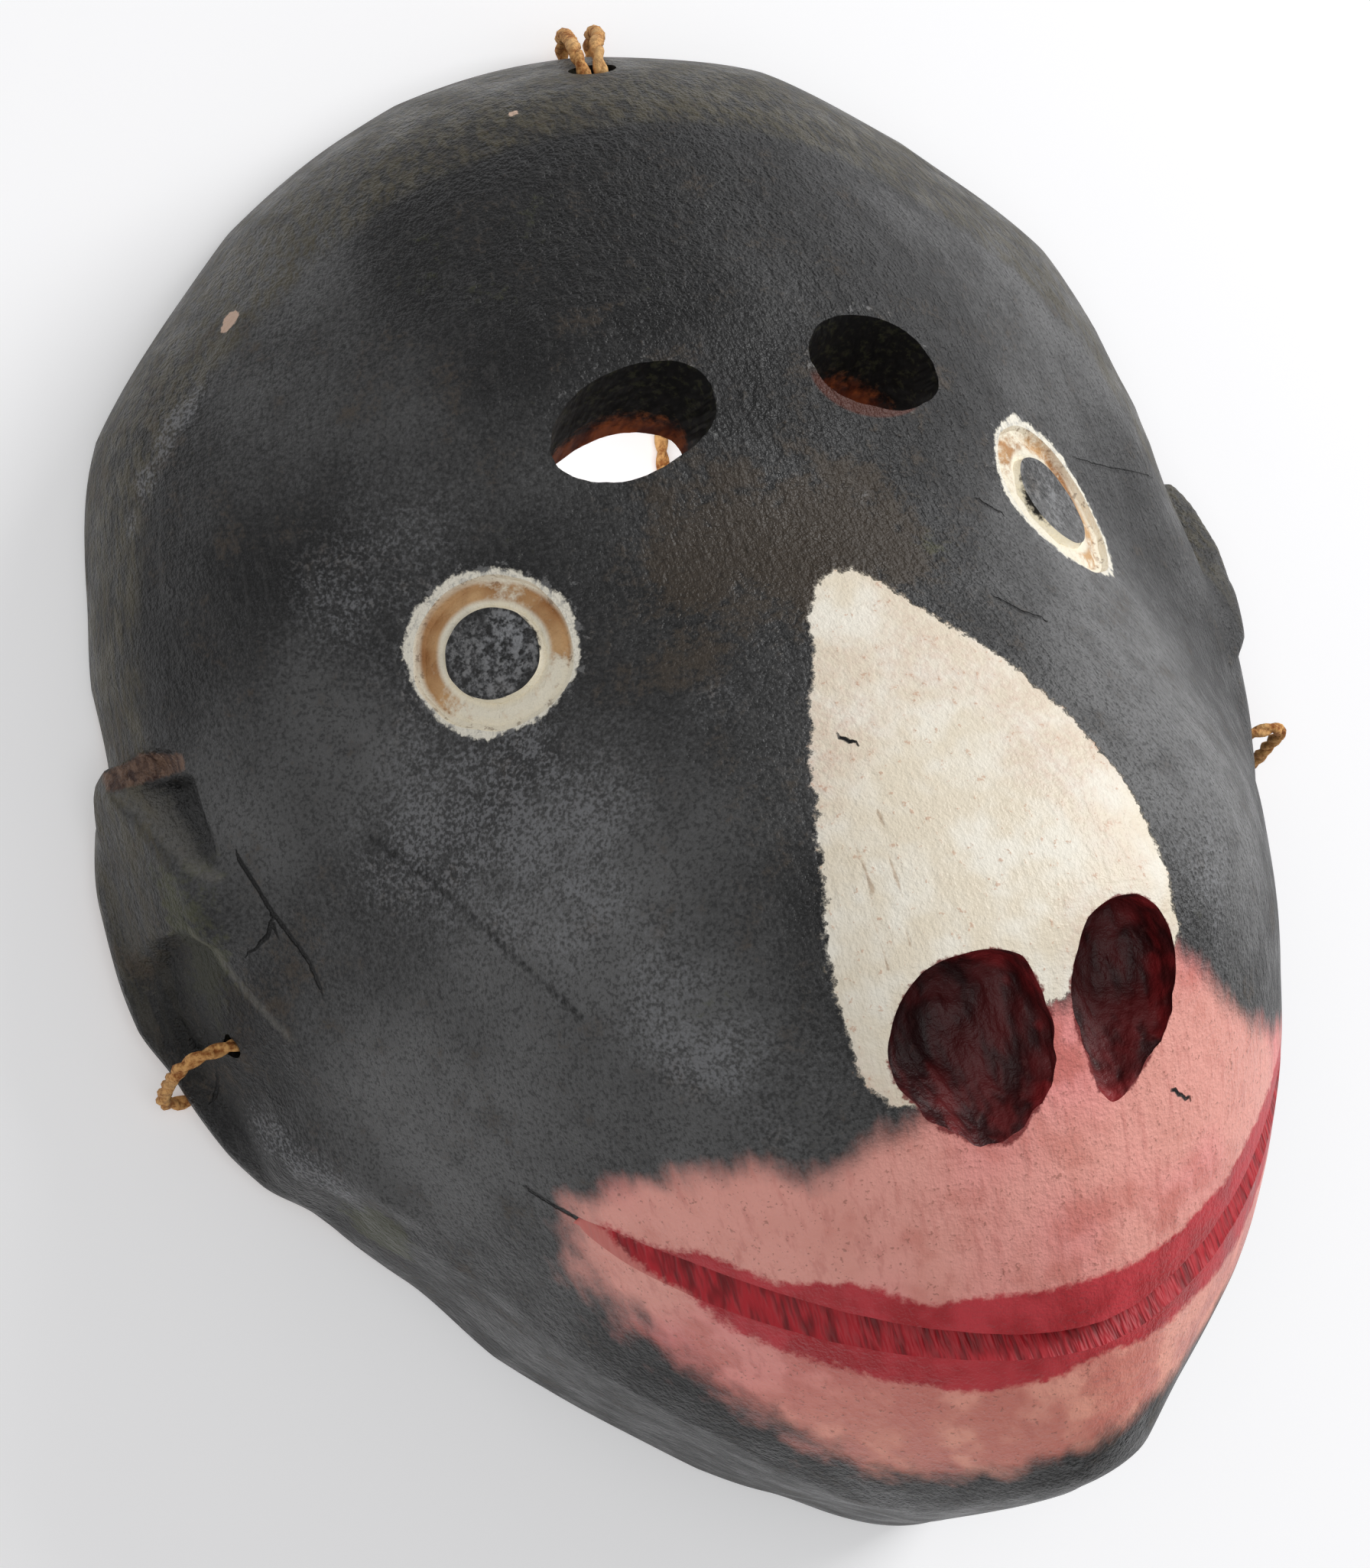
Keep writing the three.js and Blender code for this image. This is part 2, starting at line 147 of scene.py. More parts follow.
EAR_ROUTE = [
    (68, -14, 17.3), (75, -14, 19), (81.2, -14, 20.5), (84.2, -14, 21.3), (87, -14.1, 21.3),
    (89.4, -14.7, 19.7), (90.6, -15.6, 17.1), (91, -16.5, 13.4), (91.4, -17.6, 9.8),
    (91.6, -18.7, 6.4), (90.9, -19.5, 3.7), (89, -20.1, 1.9), (86.5, -20.3, 1.3),
]
LEFT_ROUTE = [(-x, y, z) for x, y, z in EAR_ROUTE] + [
    (-83.5, -20.3, 1.3), (-72, -18.6, 1.3), (-56, -12, 1.3), (-40, -3.6, 1.3), (-24, 6, 1.3),
    (-10, 18, 1.3), (1, 32, 1.3), (7.2, 44, 1.3), (10.6, 55, 1.3), (12.6, 68, 1.3),
    (13.2, 82, 1.3), (13.2, 96, 1.3), (12.9, 110.2, 1.3), (12.8, 113.1, 1.3), (12.6, 115.6, 2),
    (12.2, 117.4, 3.9), (11.6, 118, 6.6), (10.3, 117.3, 11), (8.6, 115.5, 16.5), (6.6, 113, 22.4),
    (4.9, 110.9, 27), (4, 109.7, 29.7), (3.2, 108.1, 31.8), (3.1, 105.9, 32.8),
    (3.1, 103.2, 32.5), (3.1, 100.3, 31.5), (3.1, 89.1, 27.5),
]
RIGHT_ROUTE = EAR_ROUTE + [
    (83.5, -20.2, 1.3), (71, -17.2, 1.3), (57, -8.6, 1.3), (45.5, 4, 1.3), (36.8, 19, 1.3),
    (30.8, 36, 1.3), (26.5, 53, 1.3), (22.6, 70, 1.3), (20, 86, 1.3), (18.2, 100, 1.3),
    (17.4, 109.8, 1.3), (17.3, 112.7, 1.3), (17.1, 115.2, 2), (16.8, 117, 3.9),
    (16.3, 117.6, 6.6), (15.2, 116.9, 11), (13.4, 115, 16.5), (11.1, 112.8, 22.4),
    (8.8, 110.9, 27), (7.5, 109.7, 29.7), (6.4, 108.1, 31.8), (5.8, 105.9, 32.8),
    (5.7, 103.2, 32.5), (5.7, 100.3, 31.5), (5.7, 89.1, 27.5),
]
TIE_KNOT = {"at": (65.4, -14, 15.9), "size": (2.6, 2.9, 2.5)}
TOP_KNOT = {"at": (4.4, 86.5, 24.9), "size": (4.6, 3.2, 3.2)}


def lengths_along(points):
    """How far each point of a line is from its first, along the line."""
    return np.concatenate([[0], np.cumsum(np.linalg.norm(np.diff(points, axis=0), axis=1))])


def smooth_path(route, step):
    """Points along the centripetal Catmull-Rom curve through the route, about a step apart."""
    p = np.array(route, float)
    p = np.vstack([2 * p[0] - p[1], p, 2 * p[-1] - p[-2]])
    found = []
    for p0, p1, p2, p3 in zip(p, p[1:], p[2:], p[3:]):
        d0, d1, d2 = (math.sqrt(np.linalg.norm(b - a)) for a, b in ((p0, p1), (p1, p2), (p2, p3)))
        t1 = ((p1 - p0) / d0 - (p2 - p0) / (d0 + d1) + (p2 - p1) / d1) * d1
        t2 = ((p2 - p1) / d1 - (p3 - p1) / (d1 + d2) + (p3 - p2) / d2) * d1
        square = -3 * p1 + 3 * p2 - 2 * t1 - t2
        cube = 2 * p1 - 2 * p2 + t1 + t2
        steps = max(int(np.linalg.norm(p2 - p1) / step * 4), 4)
        for t in np.arange(steps) / steps:
            found.append(p1 + t1 * t + square * t * t + cube * t ** 3)
    found = np.array(found + [p[-2]])
    gone = lengths_along(found)
    even = np.linspace(0, gone[-1], int(gone[-1] / step) + 2)
    return np.stack([np.interp(even, gone, found[:, k]) for k in range(3)], 1)


def carried_frames(path):
    """Two directions across the path at each of its points, turning as little as they can."""
    along = np.gradient(path, axis=0)
    along /= np.linalg.norm(along, axis=1)[:, None]
    side = np.cross(along[0], (0, 0, 1) if abs(along[0][2]) < 0.8 else (0, 1, 0))
    sides = []
    for t in along:
        side = side - t * np.dot(side, t)
        side /= np.linalg.norm(side)
        sides.append(side)
    sides = np.array(sides)
    return sides, np.cross(along, sides)


def strand(path, ply, phase):
    """Points and faces of one of the two strands that wind round each other along a path."""
    across, over = carried_frames(path)
    points, faces = [], []
    for gone, middle, u, v in zip(lengths_along(path), path, across, over):
        turn = 2 * math.pi * (gone / TWIST_LENGTH + phase + ply / 2)
        swell = wobble(gone * SWELLING["pace"], ply * SWELLING["ply_apart"], phase)
        radius = PLY_RADIUS * (1 + SWELLING["by"] * swell)
        centre = middle + PLY_OFFSET * (math.cos(turn) * u + math.sin(turn) * v)
        angles = [turn + 2 * math.pi * k / PLY_SIDES for k in range(PLY_SIDES)]
        points += [centre + radius * (math.cos(a) * u + math.sin(a) * v) for a in angles]
    last = len(points) - PLY_SIDES
    for low in range(0, last, PLY_SIDES):
        high = low + PLY_SIDES
        for i in range(PLY_SIDES):
            j = (i + 1) % PLY_SIDES
            faces.append((low + j, high + j, high + i, low + i))
    faces.append(tuple(reversed(range(PLY_SIDES))))
    faces.append(tuple(range(last, len(points))))
    return points, faces


def make_twine(name, node, path, phase):
    """Two-ply twine along a path, starting part of a turn on."""
    obj = mesh_object(name, *merged(strand(path, ply, phase) for ply in (0, 1)), [twine])
    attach(obj, "root")
    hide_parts(node)
    return obj


def knot_path(at, size):
    """A trefoil filling the knot's room, less half the twine."""
    t = np.linspace(0, 2 * math.pi, KNOT_POINTS)
    across, over = np.sin(t) + 2 * np.sin(2 * t), np.cos(t) - 2 * np.cos(2 * t)
    loops = np.stack([across, over, -np.sin(3 * t)], 1) / (3, 3, 1)
    return np.array(at) + loops * (np.array(size) - PLY_OFFSET - PLY_RADIUS + KNOT_PROUD)


# ---- node helpers


def srgb(red, green, blue):
    """A colour from 0 to 255 display values."""
    return tuple((c / 255 / 12.92) if c <= 10 else ((c / 255 + 0.055) / 1.055) ** 2.4
                 for c in (red, green, blue)) + (1.0,)


class Shading:
    """A node material, written as short calls that return output sockets.

    A string given as a value stands for the attribute of that name on the mask.
    """

    def __init__(self, name, roughness, specular):
        self.material = bpy.data.materials.new(name)
        self.material.use_nodes = True
        self.tree = self.material.node_tree
        self.shader = self.tree.nodes["Principled BSDF"]
        self.shader.inputs["Roughness"].default_value = roughness
        self.shader.inputs["Specular IOR Level"].default_value = specular
        self.place = self.tree.nodes.new("ShaderNodeTexCoord").outputs["Object"]

    def put(self, socket, value):
        if isinstance(value, str):
            value = self.attribute(value)
        if isinstance(value, bpy.types.NodeSocket):
            self.tree.links.new(value, socket)
        else:
            socket.default_value = value

    def node(self, kind, output, **values):
        """One output of a new node whose inputs are set by name."""
        node = self.tree.nodes.new("ShaderNode" + kind)
        for name, value in values.items():
            self.put(node.inputs[name], value)
        return node.outputs[output]

    def attribute(self, name):
        node = self.tree.nodes.new("ShaderNodeAttribute")
        node.attribute_name = name
        return node.outputs["Fac"]

    def stretched(self, x, y, z):
        return self.node("Mapping", "Vector", Vector=self.place, Scale=(x, y, z))

    def noise(self, scale, detail, roughness=0.5, vector=None):
        vector = self.place if vector is None else vector
        return self.node("TexNoise", "Fac", Vector=vector, Scale=scale, Detail=detail,
                         Roughness=roughness)

    def streaks(self, x, y, z, detail=2, roughness=0.6):
        """Noise with its own scale along each axis, finest where the number is largest."""
        return self.noise(1, detail, roughness, self.stretched(x, y, z))

    def cells(self, x, y, z):
        return self.node("TexVoronoi", "Distance", Vector=self.stretched(x, y, z), Scale=1)

    def place_y(self):
        return self.node("SeparateXYZ", "Y", Vector=self.place)

    def math(self, operation, a, b=0.0):
        node = self.tree.nodes.new("ShaderNodeMath")
        node.operation = operation
        self.put(node.inputs[0], a)
        self.put(node.inputs[1], b)
        return node.outputs[0]

    def add(self, a, b):
        return self.math("ADD", a, b)

    def times(self, a, b):
        return self.math("MULTIPLY", a, b)

    def span(self, value, low, high, out_low=0.0, out_high=1.0):
        """Value from low to high, carried smoothly to the outgoing pair and held beyond it."""
        node = self.tree.nodes.new("ShaderNodeMapRange")
        node.interpolation_type = "SMOOTHSTEP"
        self.put(node.inputs["Value"], value)
        ends = {"From Min": low, "From Max": high, "To Min": out_low, "To Max": out_high}
        for name, number in ends.items():
            node.inputs[name].default_value = number
        return node.outputs["Result"]

    def fade(self, value, low, high, full=1.0):
        """As span, but falling from full to nothing."""
        return self.span(value, low, high, full, 0.0)

    def mix(self, share, a, b):
        node = self.tree.nodes.new("ShaderNodeMix")
        node.data_type = "RGBA"
        self.put(node.inputs["Factor"], share)
        colours = [socket for socket in node.inputs if socket.enabled and socket.type == "RGBA"]
        self.put(colours[0], a)
        self.put(colours[1], b)
        return next(socket for socket in node.outputs if socket.enabled)

    def coat(self, under, share, over, strength=1.0):
        """A colour with a share of another, given as display values, laid over it."""
        share = share if strength == 1.0 else self.times(share, strength)
        return self.mix(share, under, srgb(*over))

    def blend(self, value, low, high, first, second):
        """From one colour to another, in display values, as the value goes from low to high."""
        return self.mix(self.span(value, low, high), srgb(*first), srgb(*second))

    def bump(self, height, distance):
        return self.node("Bump", "Normal", Distance=distance, Height=height)

    def finish(self, colour, roughness=None, normal=None):
        self.put(self.shader.inputs["Base Color"], colour)
        if roughness is not None:
            self.put(self.shader.inputs["Roughness"], roughness)
        if normal is not None:
            self.put(self.shader.inputs["Normal"], normal)
        return self.material


def twine_material():
    s = Shading("twine", roughness=0.85, specular=0.25)
    fibre = s.noise(900, detail=3, roughness=0.7)
    highlight_patches = s.noise(160, detail=2)
    colour = s.blend(fibre, 0.32, 0.66, (142, 82, 36), (226, 172, 108))
    # Paler patches are painted highlights on the twine.
    colour = s.coat(colour, s.span(highlight_patches, 0.42, 0.7), (240, 200, 142), 0.5)
    return s.finish(colour, normal=s.bump(fibre, 0.0005))


twine = twine_material()


def make_cord(name, node, route, phase):
    path = smooth_path(route, TWINE_STEP)
    obj = make_twine(name, node, path, phase)


def make_cords():
    (x, y, z), size = TIE_KNOT["at"], TIE_KNOT["size"]
    left_knot = make_twine("left_stopper_knot", "left_knot", knot_path((-x, y, z), size), 0.1)
    right_knot = make_twine("right_stopper_knot", "right_knot", knot_path((x, y, z), size), 0.6)
    top_knot = make_twine("crown_knot", "top_knot", knot_path(**TOP_KNOT), 0.3)
    make_cord("left_twine", "left_cord", LEFT_ROUTE, 0.0)
    make_cord("right_twine", "right_cord", RIGHT_ROUTE, 0.4)


make_cords()

# ---- form of the mask

OUTLINE = [(0, 115.5), (14, 113.5), (30, 108.7), (46, 104.3), (60, 95.8), (74, 89.6), (97, 88),
           (118, 85.1), (130, 84.9), (142, 88.8), (155, 94.9), (168, 104.2), (180, 113.9)]
EAR_REACH = [
    (73.5, 0), (77.5, 3.2), (84, 4.8), (90, 4.8), (96, 4.2), (101, 3.2), (108, 3.4), (113, 3),
    (119, 0.4), (122, 0),
]
EAR_UPPER = [
    (-42, 0), (-32, 2.4), (-26, 1.3), (-20, 0.3), (-11, 1), (0.5, 1.1), (3.5, 3.1), (6.4, 3.4),
    (18.8, 3.9), (22, 4.2), (27, 3.6), (29, 0),
]
EAR_BAND = {"low": 3.5, "high": 9}
LOBE_ARCH = {"level": 18, "bend": 0.022}
EAR_EDGE = [(-45, 34), (-23, 35), (-5, 32), (7, 29.5), (15, 24.5), (24, 17.5), (30, 14)]
EAR_BLEND = 5
EAR_CARVED = [
    {"edge": [(24.5, 16.5), (23.2, 26.8), (16, 28.6), (8.3, 30), (12, 26.6), (16.5, 23.2),
              (20.5, 20)],
     "depth": 1.5, "fades": (24, 31)},
    {"edge": [(3.5, 24.6), (2.9, 17), (-0.9, 9.6), (-3.1, 9.6), (-8.3, 8.2), (-12.1, 7.6),
              (-13.5, 8.1), (-15, 14), (-13, 22), (-9.9, 29), (-2.9, 26.8), (2.9, 25.2)],
     "depth": 1.5, "fades": (14, 27)},
]
EAR_KNIFE_EDGE = 0.9
EAR_CUT = {"depth": 3.2, "front": 29, "full": 26, "point": 6.5, "width": 10}
DOME = {"height": 54.2, "crown": 2.98, "shoulder": 2.15}
MUZZLE_LIFT = [
    (-113.9, 0), (-98, 40.4), (-84, 42.5), (-70, 44.3), (-45, 46.8), (-28, 49.7), (-15, 46.4),
    (10, 32.4), (32, 20.3), (55, 18.7), (80, 11.7), (100, 8.7), (115.5, 0),
]
MUZZLE_BREADTH = [
    (-100, 75.8), (-75, 79.6), (-50, 84), (-25, 84), (0, 74.2), (30, 64.3), (60, 63.1),
]
MUZZLE_SQUARENESS = [
    (-100, 1.82), (-75, 2.94), (-50, 2.99), (-25, 2.64), (0, 2.46), (30, 2.13), (60, 2.17),
]
MUZZLE_EDGE = 0.03
RIM_WIDTH = [(0, 15), (40, 19), (75, 14), (130, 12), (180, 13)]
RIM_EDGE = {"height": 1.4, "in": 0.7}
HOLLOW = {"height": 46, "crown": 2.2, "shoulder": 2, "lift_less": 5, "breadth_less": 16}
ARCH = {"rise": 4, "radius": 314, "y": -8}
NOTCH = {"x": 15, "radius": 16, "rise": 3.6, "from_y": 80}
RIM_LIFT = {"up_to": 14, "power": 1.5}
SIGHT_HOLE = {"x": 17.7, "y": 49.9, "half_width": 10.6, "half_height": 7.8, "below": 34, "above": 6}
SIGHT_LEAN = {-1: (0.07, -0.38), 1: (-0.1, -0.55)}
EYE_DEPTH = 1.3
EYES = {-1: {"x": -42.5, "y": 26, "half_width": 11.6, "half_height": 10.3, "turn": -0.5},
        1: {"x": 42.1, "y": 26.3, "half_width": 10.4, "half_height": 12.3, "turn": 0.5}}
NOSTRIL_DEPTH = 9.5
NOSTRIL_ABOVE = 1.5
NOSTRILS = {
    -1: [(-20.7, -33.6), (-18.6, -30), (-15.2, -27.3), (-10.2, -26.7), (-5.6, -27.4), (-2.9, -29),
         (-1.9, -32.2), (-1.2, -35.7), (-0.6, -37.9), (-1, -40.6), (-2.2, -44.5), (-5.1, -48.4),
         (-8.2, -51), (-10.9, -50.5), (-15.3, -47.6), (-19.1, -43.1), (-21.1, -38.6)],
    1: [(15.1, -26.3), (11, -25.8), (7, -27.1), (4.6, -30.3), (3.2, -32.7), (2.4, -36.2),
        (2.7, -39.7), (3.3, -43.8), (4.2, -47.9), (6.1, -49.5), (9.2, -49), (12.2, -46.5),
        (15.3, -43.5), (17.4, -39.7), (18.5, -36.1), (18.9, -32.8), (17.4, -28.5)],
}
MOUTH = {"y": -76.6, "rise": 30, "half_width": 53.5, "curve": 1.76, "depth": 3.4, "lower_lip": 3.2,
         "lip_power": 0.6, "flare": 1.6, "clear": 4}
TIE_HOLE = {"diameter": 3.6, "x": 83, "y": -14, "z": 21, "slope": 0.25, "out": 6, "into": 22}
CROWN_HOLE = {"diameter": 7, "x": 4.4, "y": 106, "z": 33.2, "slope": 0.34, "out": 8, "into": 26}

INSIDE_CAD = 0.9965
OUTER_GRID = 270
HOLLOW_GRID = 90
NORMAL_STEP = 0.5
EVEN_TABLE = {"degrees": 2, "samples": 500, "columns": 300}


def level_curve(points):
    """A curve through the pairs that never overshoots them and is level at both ends."""
    place, value = np.array(points, float).T
    gap = np.diff(place)
    rise = np.diff(value) / gap
    slope = np.zeros(len(place))
    for i in range(1, len(place) - 1):
        before, after = 2 * gap[i] + gap[i - 1], gap[i] + 2 * gap[i - 1]
        if rise[i - 1] * rise[i] > 0:
            slope[i] = (before + after) / (before / rise[i - 1] + after / rise[i])

    def at(x):
        x = np.clip(np.asarray(x, float), place[0], place[-1])
        i = np.clip(np.searchsorted(place, x, side="right") - 1, 0, len(gap) - 1)
        t = (x - place[i]) / gap[i]
        s = 1 - t
        return ((1 + 2 * t) * s * s * value[i] + t * s * s * gap[i] * slope[i]
                + t * t * (3 - 2 * t) * value[i + 1] - t * t * s * gap[i] * slope[i + 1])
    return at


outline_at = level_curve(OUTLINE)
ear_reach_at = level_curve(EAR_REACH)
ear_upper_at = level_curve(EAR_UPPER)
ear_edge_at = level_curve(EAR_EDGE)
lift_at = level_curve(MUZZLE_LIFT)
breadth_at = level_curve(MUZZLE_BREADTH)
squareness_at = level_curve(MUZZLE_SQUARENESS)
rim_width_at = level_curve(RIM_WIDTH)


def hollow_outline_at(angle):
    return outline_at(angle) - rim_width_at(angle)


def smoothstep(x, low, high):
    t = np.clip((x - low) / (high - low), 0, 1)
    return t * t * (3 - 2 * t)


def angle_from_crown(x, y):
    return np.degrees(np.arctan2(np.abs(x), y))


def domed(shape, fraction):
    left = np.maximum(1 - fraction ** shape["crown"], 0)
    return shape["height"] * left ** (1 / shape["shoulder"])


def muzzle_share(x, y, breadth):
    across = np.minimum(np.abs(x) / breadth, 1)
    return (1 - across ** squareness_at(y)) ** 2


def outside_height(x, y):
    fraction = np.minimum(np.hypot(x, y) / outline_at(angle_from_crown(x, y)), 1)
    edge = np.minimum((1 - fraction) / MUZZLE_EDGE, 1)
    muzzle = lift_at(y) * muzzle_share(x, y, breadth_at(y)) * edge
    return INSIDE_CAD * (domed(DOME, fraction) + muzzle)


def hollow_height(x, y):
    angle = angle_from_crown(x, y)
    fraction = np.minimum(np.hypot(x, y) / hollow_outline_at(angle), 1)
    edge = np.minimum((1 - fraction) / MUZZLE_EDGE, 1)
    lift = np.maximum(lift_at(y) - HOLLOW["lift_less"], 0)
    share = muzzle_share(x, y, breadth_at(y) - HOLLOW["breadth_less"])
    return domed(HOLLOW, fraction) + lift * share * edge


def signed_distance(polygon, x, y):
    """Distance to a polygon's edge, above zero inside it."""
    p = np.array(polygon, float)
    q = np.roll(p, -1, axis=0)
    best = np.full(x.shape, 1e9)
    inside = np.zeros(x.shape, bool)
    for (ax, ay), (bx, by) in zip(p, q):
        ex, ey = bx - ax, by - ay
        t = np.clip(((x - ax) * ex + (y - ay) * ey) / (ex * ex + ey * ey), 0, 1)
        best = np.minimum(best, np.hypot(x - ax - t * ex, y - ay - t * ey))
        crosses = (ay > y) != (by > y)
        with np.errstate(divide="ignore", invalid="ignore"):
            inside ^= crosses & (x < ax + (y - ay) * ex / ey)
    return np.where(inside, best, -best)


def ear_push(angle, y, z):
    """How far the ear pushes the side wall out, or its cut takes it in."""
    edge = ear_edge_at(y)
    arched = y + LOBE_ARCH["bend"] * (z - LOBE_ARCH["level"]) ** 2
    upper = smoothstep(z, EAR_BAND["low"], EAR_BAND["high"])
    reach = ear_reach_at(angle) * (1 - upper) + ear_upper_at(arched) * upper
    below = smoothstep((edge - z) / EAR_BLEND, -0.5, 0.5)
    taper = np.clip((y - EAR_CUT["point"]) / (EAR_CUT["full"] - EAR_CUT["point"]), 0, 1)
    across = np.minimum(np.abs(z - edge) / (EAR_CUT["width"] * taper + 1), 1)
    in_front = smoothstep(EAR_CUT["front"] - y, 0, EAR_CUT["front"] - EAR_CUT["full"])
    push = reach * below - EAR_CUT["depth"] * taper * in_front * (1 - across) * (1 - below)
    for cut in EAR_CARVED:
        inside = smoothstep(signed_distance(cut["edge"], y, z), 0, EAR_KNIFE_EDGE)
        push -= cut["depth"] * inside * (1 - smoothstep(z, *cut["fades"]))
    return push


def surface_point(x, y):
    return np.array([x, y, float(outside_height(x, y))])


def surface_normal(x, y):
    h = NORMAL_STEP
    dx = (outside_height(x + h, y) - outside_height(x - h, y)) / (2 * h)
    dy = (outside_height(x, y + h) - outside_height(x, y - h)) / (2 * h)
    n = np.array([-float(dx), -float(dy), 1.0])
    return n / np.linalg.norm(n)


def disc_grid(count):
    """A square grid drawn out into a disc: angle round from the crown, and distance from 0 to 1."""
    u, v = np.meshgrid(np.linspace(-1, 1, count + 1), np.linspace(-1, 1, count + 1))
    a = u * np.sqrt(1 - v * v / 2)
    b = v * np.sqrt(1 - u * u / 2)
    return np.degrees(np.arctan2(a, b)), np.minimum(np.hypot(a, b), 1)


def even_fractions(degrees, reach, height, rim):
    """Fractions of the outline that lie evenly along each line over the surface from the middle."""
    step = EVEN_TABLE["degrees"]
    angles = np.arange(0, 180 + step, float(step))
    samples = 1 - (1 - np.linspace(0, 1, EVEN_TABLE["samples"])) ** 2
    even = np.linspace(0, 1, EVEN_TABLE["columns"])
    table = []
    for angle in angles:
        radial = samples * rim(angle)
        z = height(radial * math.sin(math.radians(angle)), radial * math.cos(math.radians(angle)))
        z[-1] = 0
        gone = np.concatenate([[0], np.cumsum(np.hypot(np.diff(radial), np.diff(z)))])
        table.append(np.interp(even, gone / gone[-1], samples))
    table = np.array(table)
    row = np.abs(degrees) / step
    column = reach * (len(even) - 1)
    r = np.minimum(row.astype(int), len(angles) - 2)
    c = np.minimum(column.astype(int), len(even) - 2)
    s, t = row - r, column - c
    return ((table[r, c] * (1 - t) + table[r, c + 1] * t) * (1 - s)
            + (table[r + 1, c] * (1 - t) + table[r + 1, c + 1] * t) * s)


def border(count):
    """Grid indices round the edge of a square grid, starting at one corner."""
    side = count + 1
    there, back = range(count), range(count, 0, -1)
    return (list(there) + [count + side * i for i in there]
            + [side * count + i for i in back] + [side * i for i in back])


def grid_faces(count, start, flipped):
    side = count + 1
    faces = []
    for j in range(count):
        for i in range(count):
            a = start + j * side + i
            face = (a, a + 1, a + side + 1, a + side)
            faces.append(tuple(reversed(face)) if flipped else face)
    return faces


FACET_SEED = 7
FACET_WIDTHS = (17, 15, 13)
FACET_SPREAD = (0.6, 1.3)
FACET_ROW = 0.36
FACET_FADE = 0.05
FACET_SHARE = 0.48
WALL_ROUND = 100
WALL = {"ear_from": 0.6, "facets_from": 0.8, "facets_full": 0.97, "depth": 0.2}
SMOOTH_CHEEK = {"from": -165, "to": -104, "share": 0.2, "fade": 6}


def facet_marks(degrees, level):
    """Flats left by the knife round the side wall: how far each point lies under a smooth one."""
    rng = np.random.default_rng(FACET_SEED)
    cut = np.zeros_like(level)
    for row, width in enumerate(FACET_WIDTHS):
        edges = [-180.0]
        while edges[-1] < 180:
            edges.append(edges[-1] + width * rng.uniform(*FACET_SPREAD))
        edges = np.array(edges)
        i = np.clip(np.searchsorted(edges, degrees, side="right") - 1, 0, len(edges) - 2)
        wide = edges[i + 1] - edges[i]
        t = np.clip((degrees - edges[i]) / wide, 0, 1)
        sagitta = WALL_ROUND * (1 - np.cos(np.radians(wide / 2)))
        low, high = row * FACET_ROW, (row + 1) * FACET_ROW
        inside = 1 - smoothstep(level, high, high + FACET_FADE)
        if row > 0:
            inside *= smoothstep(level, low, low + FACET_FADE)
        cut += sagitta * 4 * t * (1 - t) * inside
    smooth = SMOOTH_CHEEK
    fade = smooth["fade"]
    # Here the share only marks where the lower left cheek's flats are rubbed smoother.
    wear_and_sheen = smoothstep(degrees, smooth["from"] - fade, smooth["from"])
    wear_and_sheen = wear_and_sheen * (1 - smoothstep(degrees, smooth["to"], smooth["to"] + fade))
    return cut * (FACET_SHARE + (smooth["share"] - FACET_SHARE) * wear_and_sheen)


def skin_places(grid, height, rim):
    """Angle, fraction of the outline, and place of each point of a skin."""
    degrees, reach = disc_grid(grid)
    fraction = even_fractions(degrees, reach, height, rim)
    radial = fraction * rim(np.abs(degrees))
    x, y = radial * np.sin(np.radians(degrees)), radial * np.cos(np.radians(degrees))
    return degrees, fraction, x, y, np.where(reach < 1, height(x, y), 0)


def outer_skin():
    degrees, fraction, x, y, z = skin_places(OUTER_GRID, outside_height, outline_at)
    push = np.where(fraction > WALL["ear_from"], ear_push(np.abs(degrees), y, z), 0)
    wall = smoothstep(fraction, WALL["facets_from"], WALL["facets_full"])
    push -= wall * facet_marks(degrees, np.clip((1 - fraction) / WALL["depth"], 0, 1))
    push -= np.maximum(1 - z / RIM_EDGE["height"], 0) ** 2 * RIM_EDGE["in"]
    x, y = x + push * np.sin(np.radians(degrees)), y + push * np.cos(np.radians(degrees))
    return np.stack([x, y, z], -1).reshape(-1, 3)


def hollow_skin():
    _, _, x, y, z = skin_places(HOLLOW_GRID, hollow_height, hollow_outline_at)
    return np.stack([x, y, z], -1).reshape(-1, 3)


def lift_rim(points):
    """The rim's underside, arched at the sides and notched at the crown."""
    def sagging(shape, away):
        radius = shape["radius"]
        return shape["rise"] - radius + np.sqrt(np.maximum(radius ** 2 - away ** 2, 0))

    x, y, z = points.T
    notch = np.where(y > NOTCH["from_y"], sagging(NOTCH, x - NOTCH["x"]), 0)
    rise = np.maximum(np.maximum(sagging(ARCH, y - ARCH["y"]), notch), 0)
    points[:, 2] += rise * np.maximum(1 - z / RIM_LIFT["up_to"], 0) ** RIM_LIFT["power"]


PAINT, INSIDE, TUNNEL, EYE_WOOD, MOUTH_RED, NOSTRIL_RED = range(6)


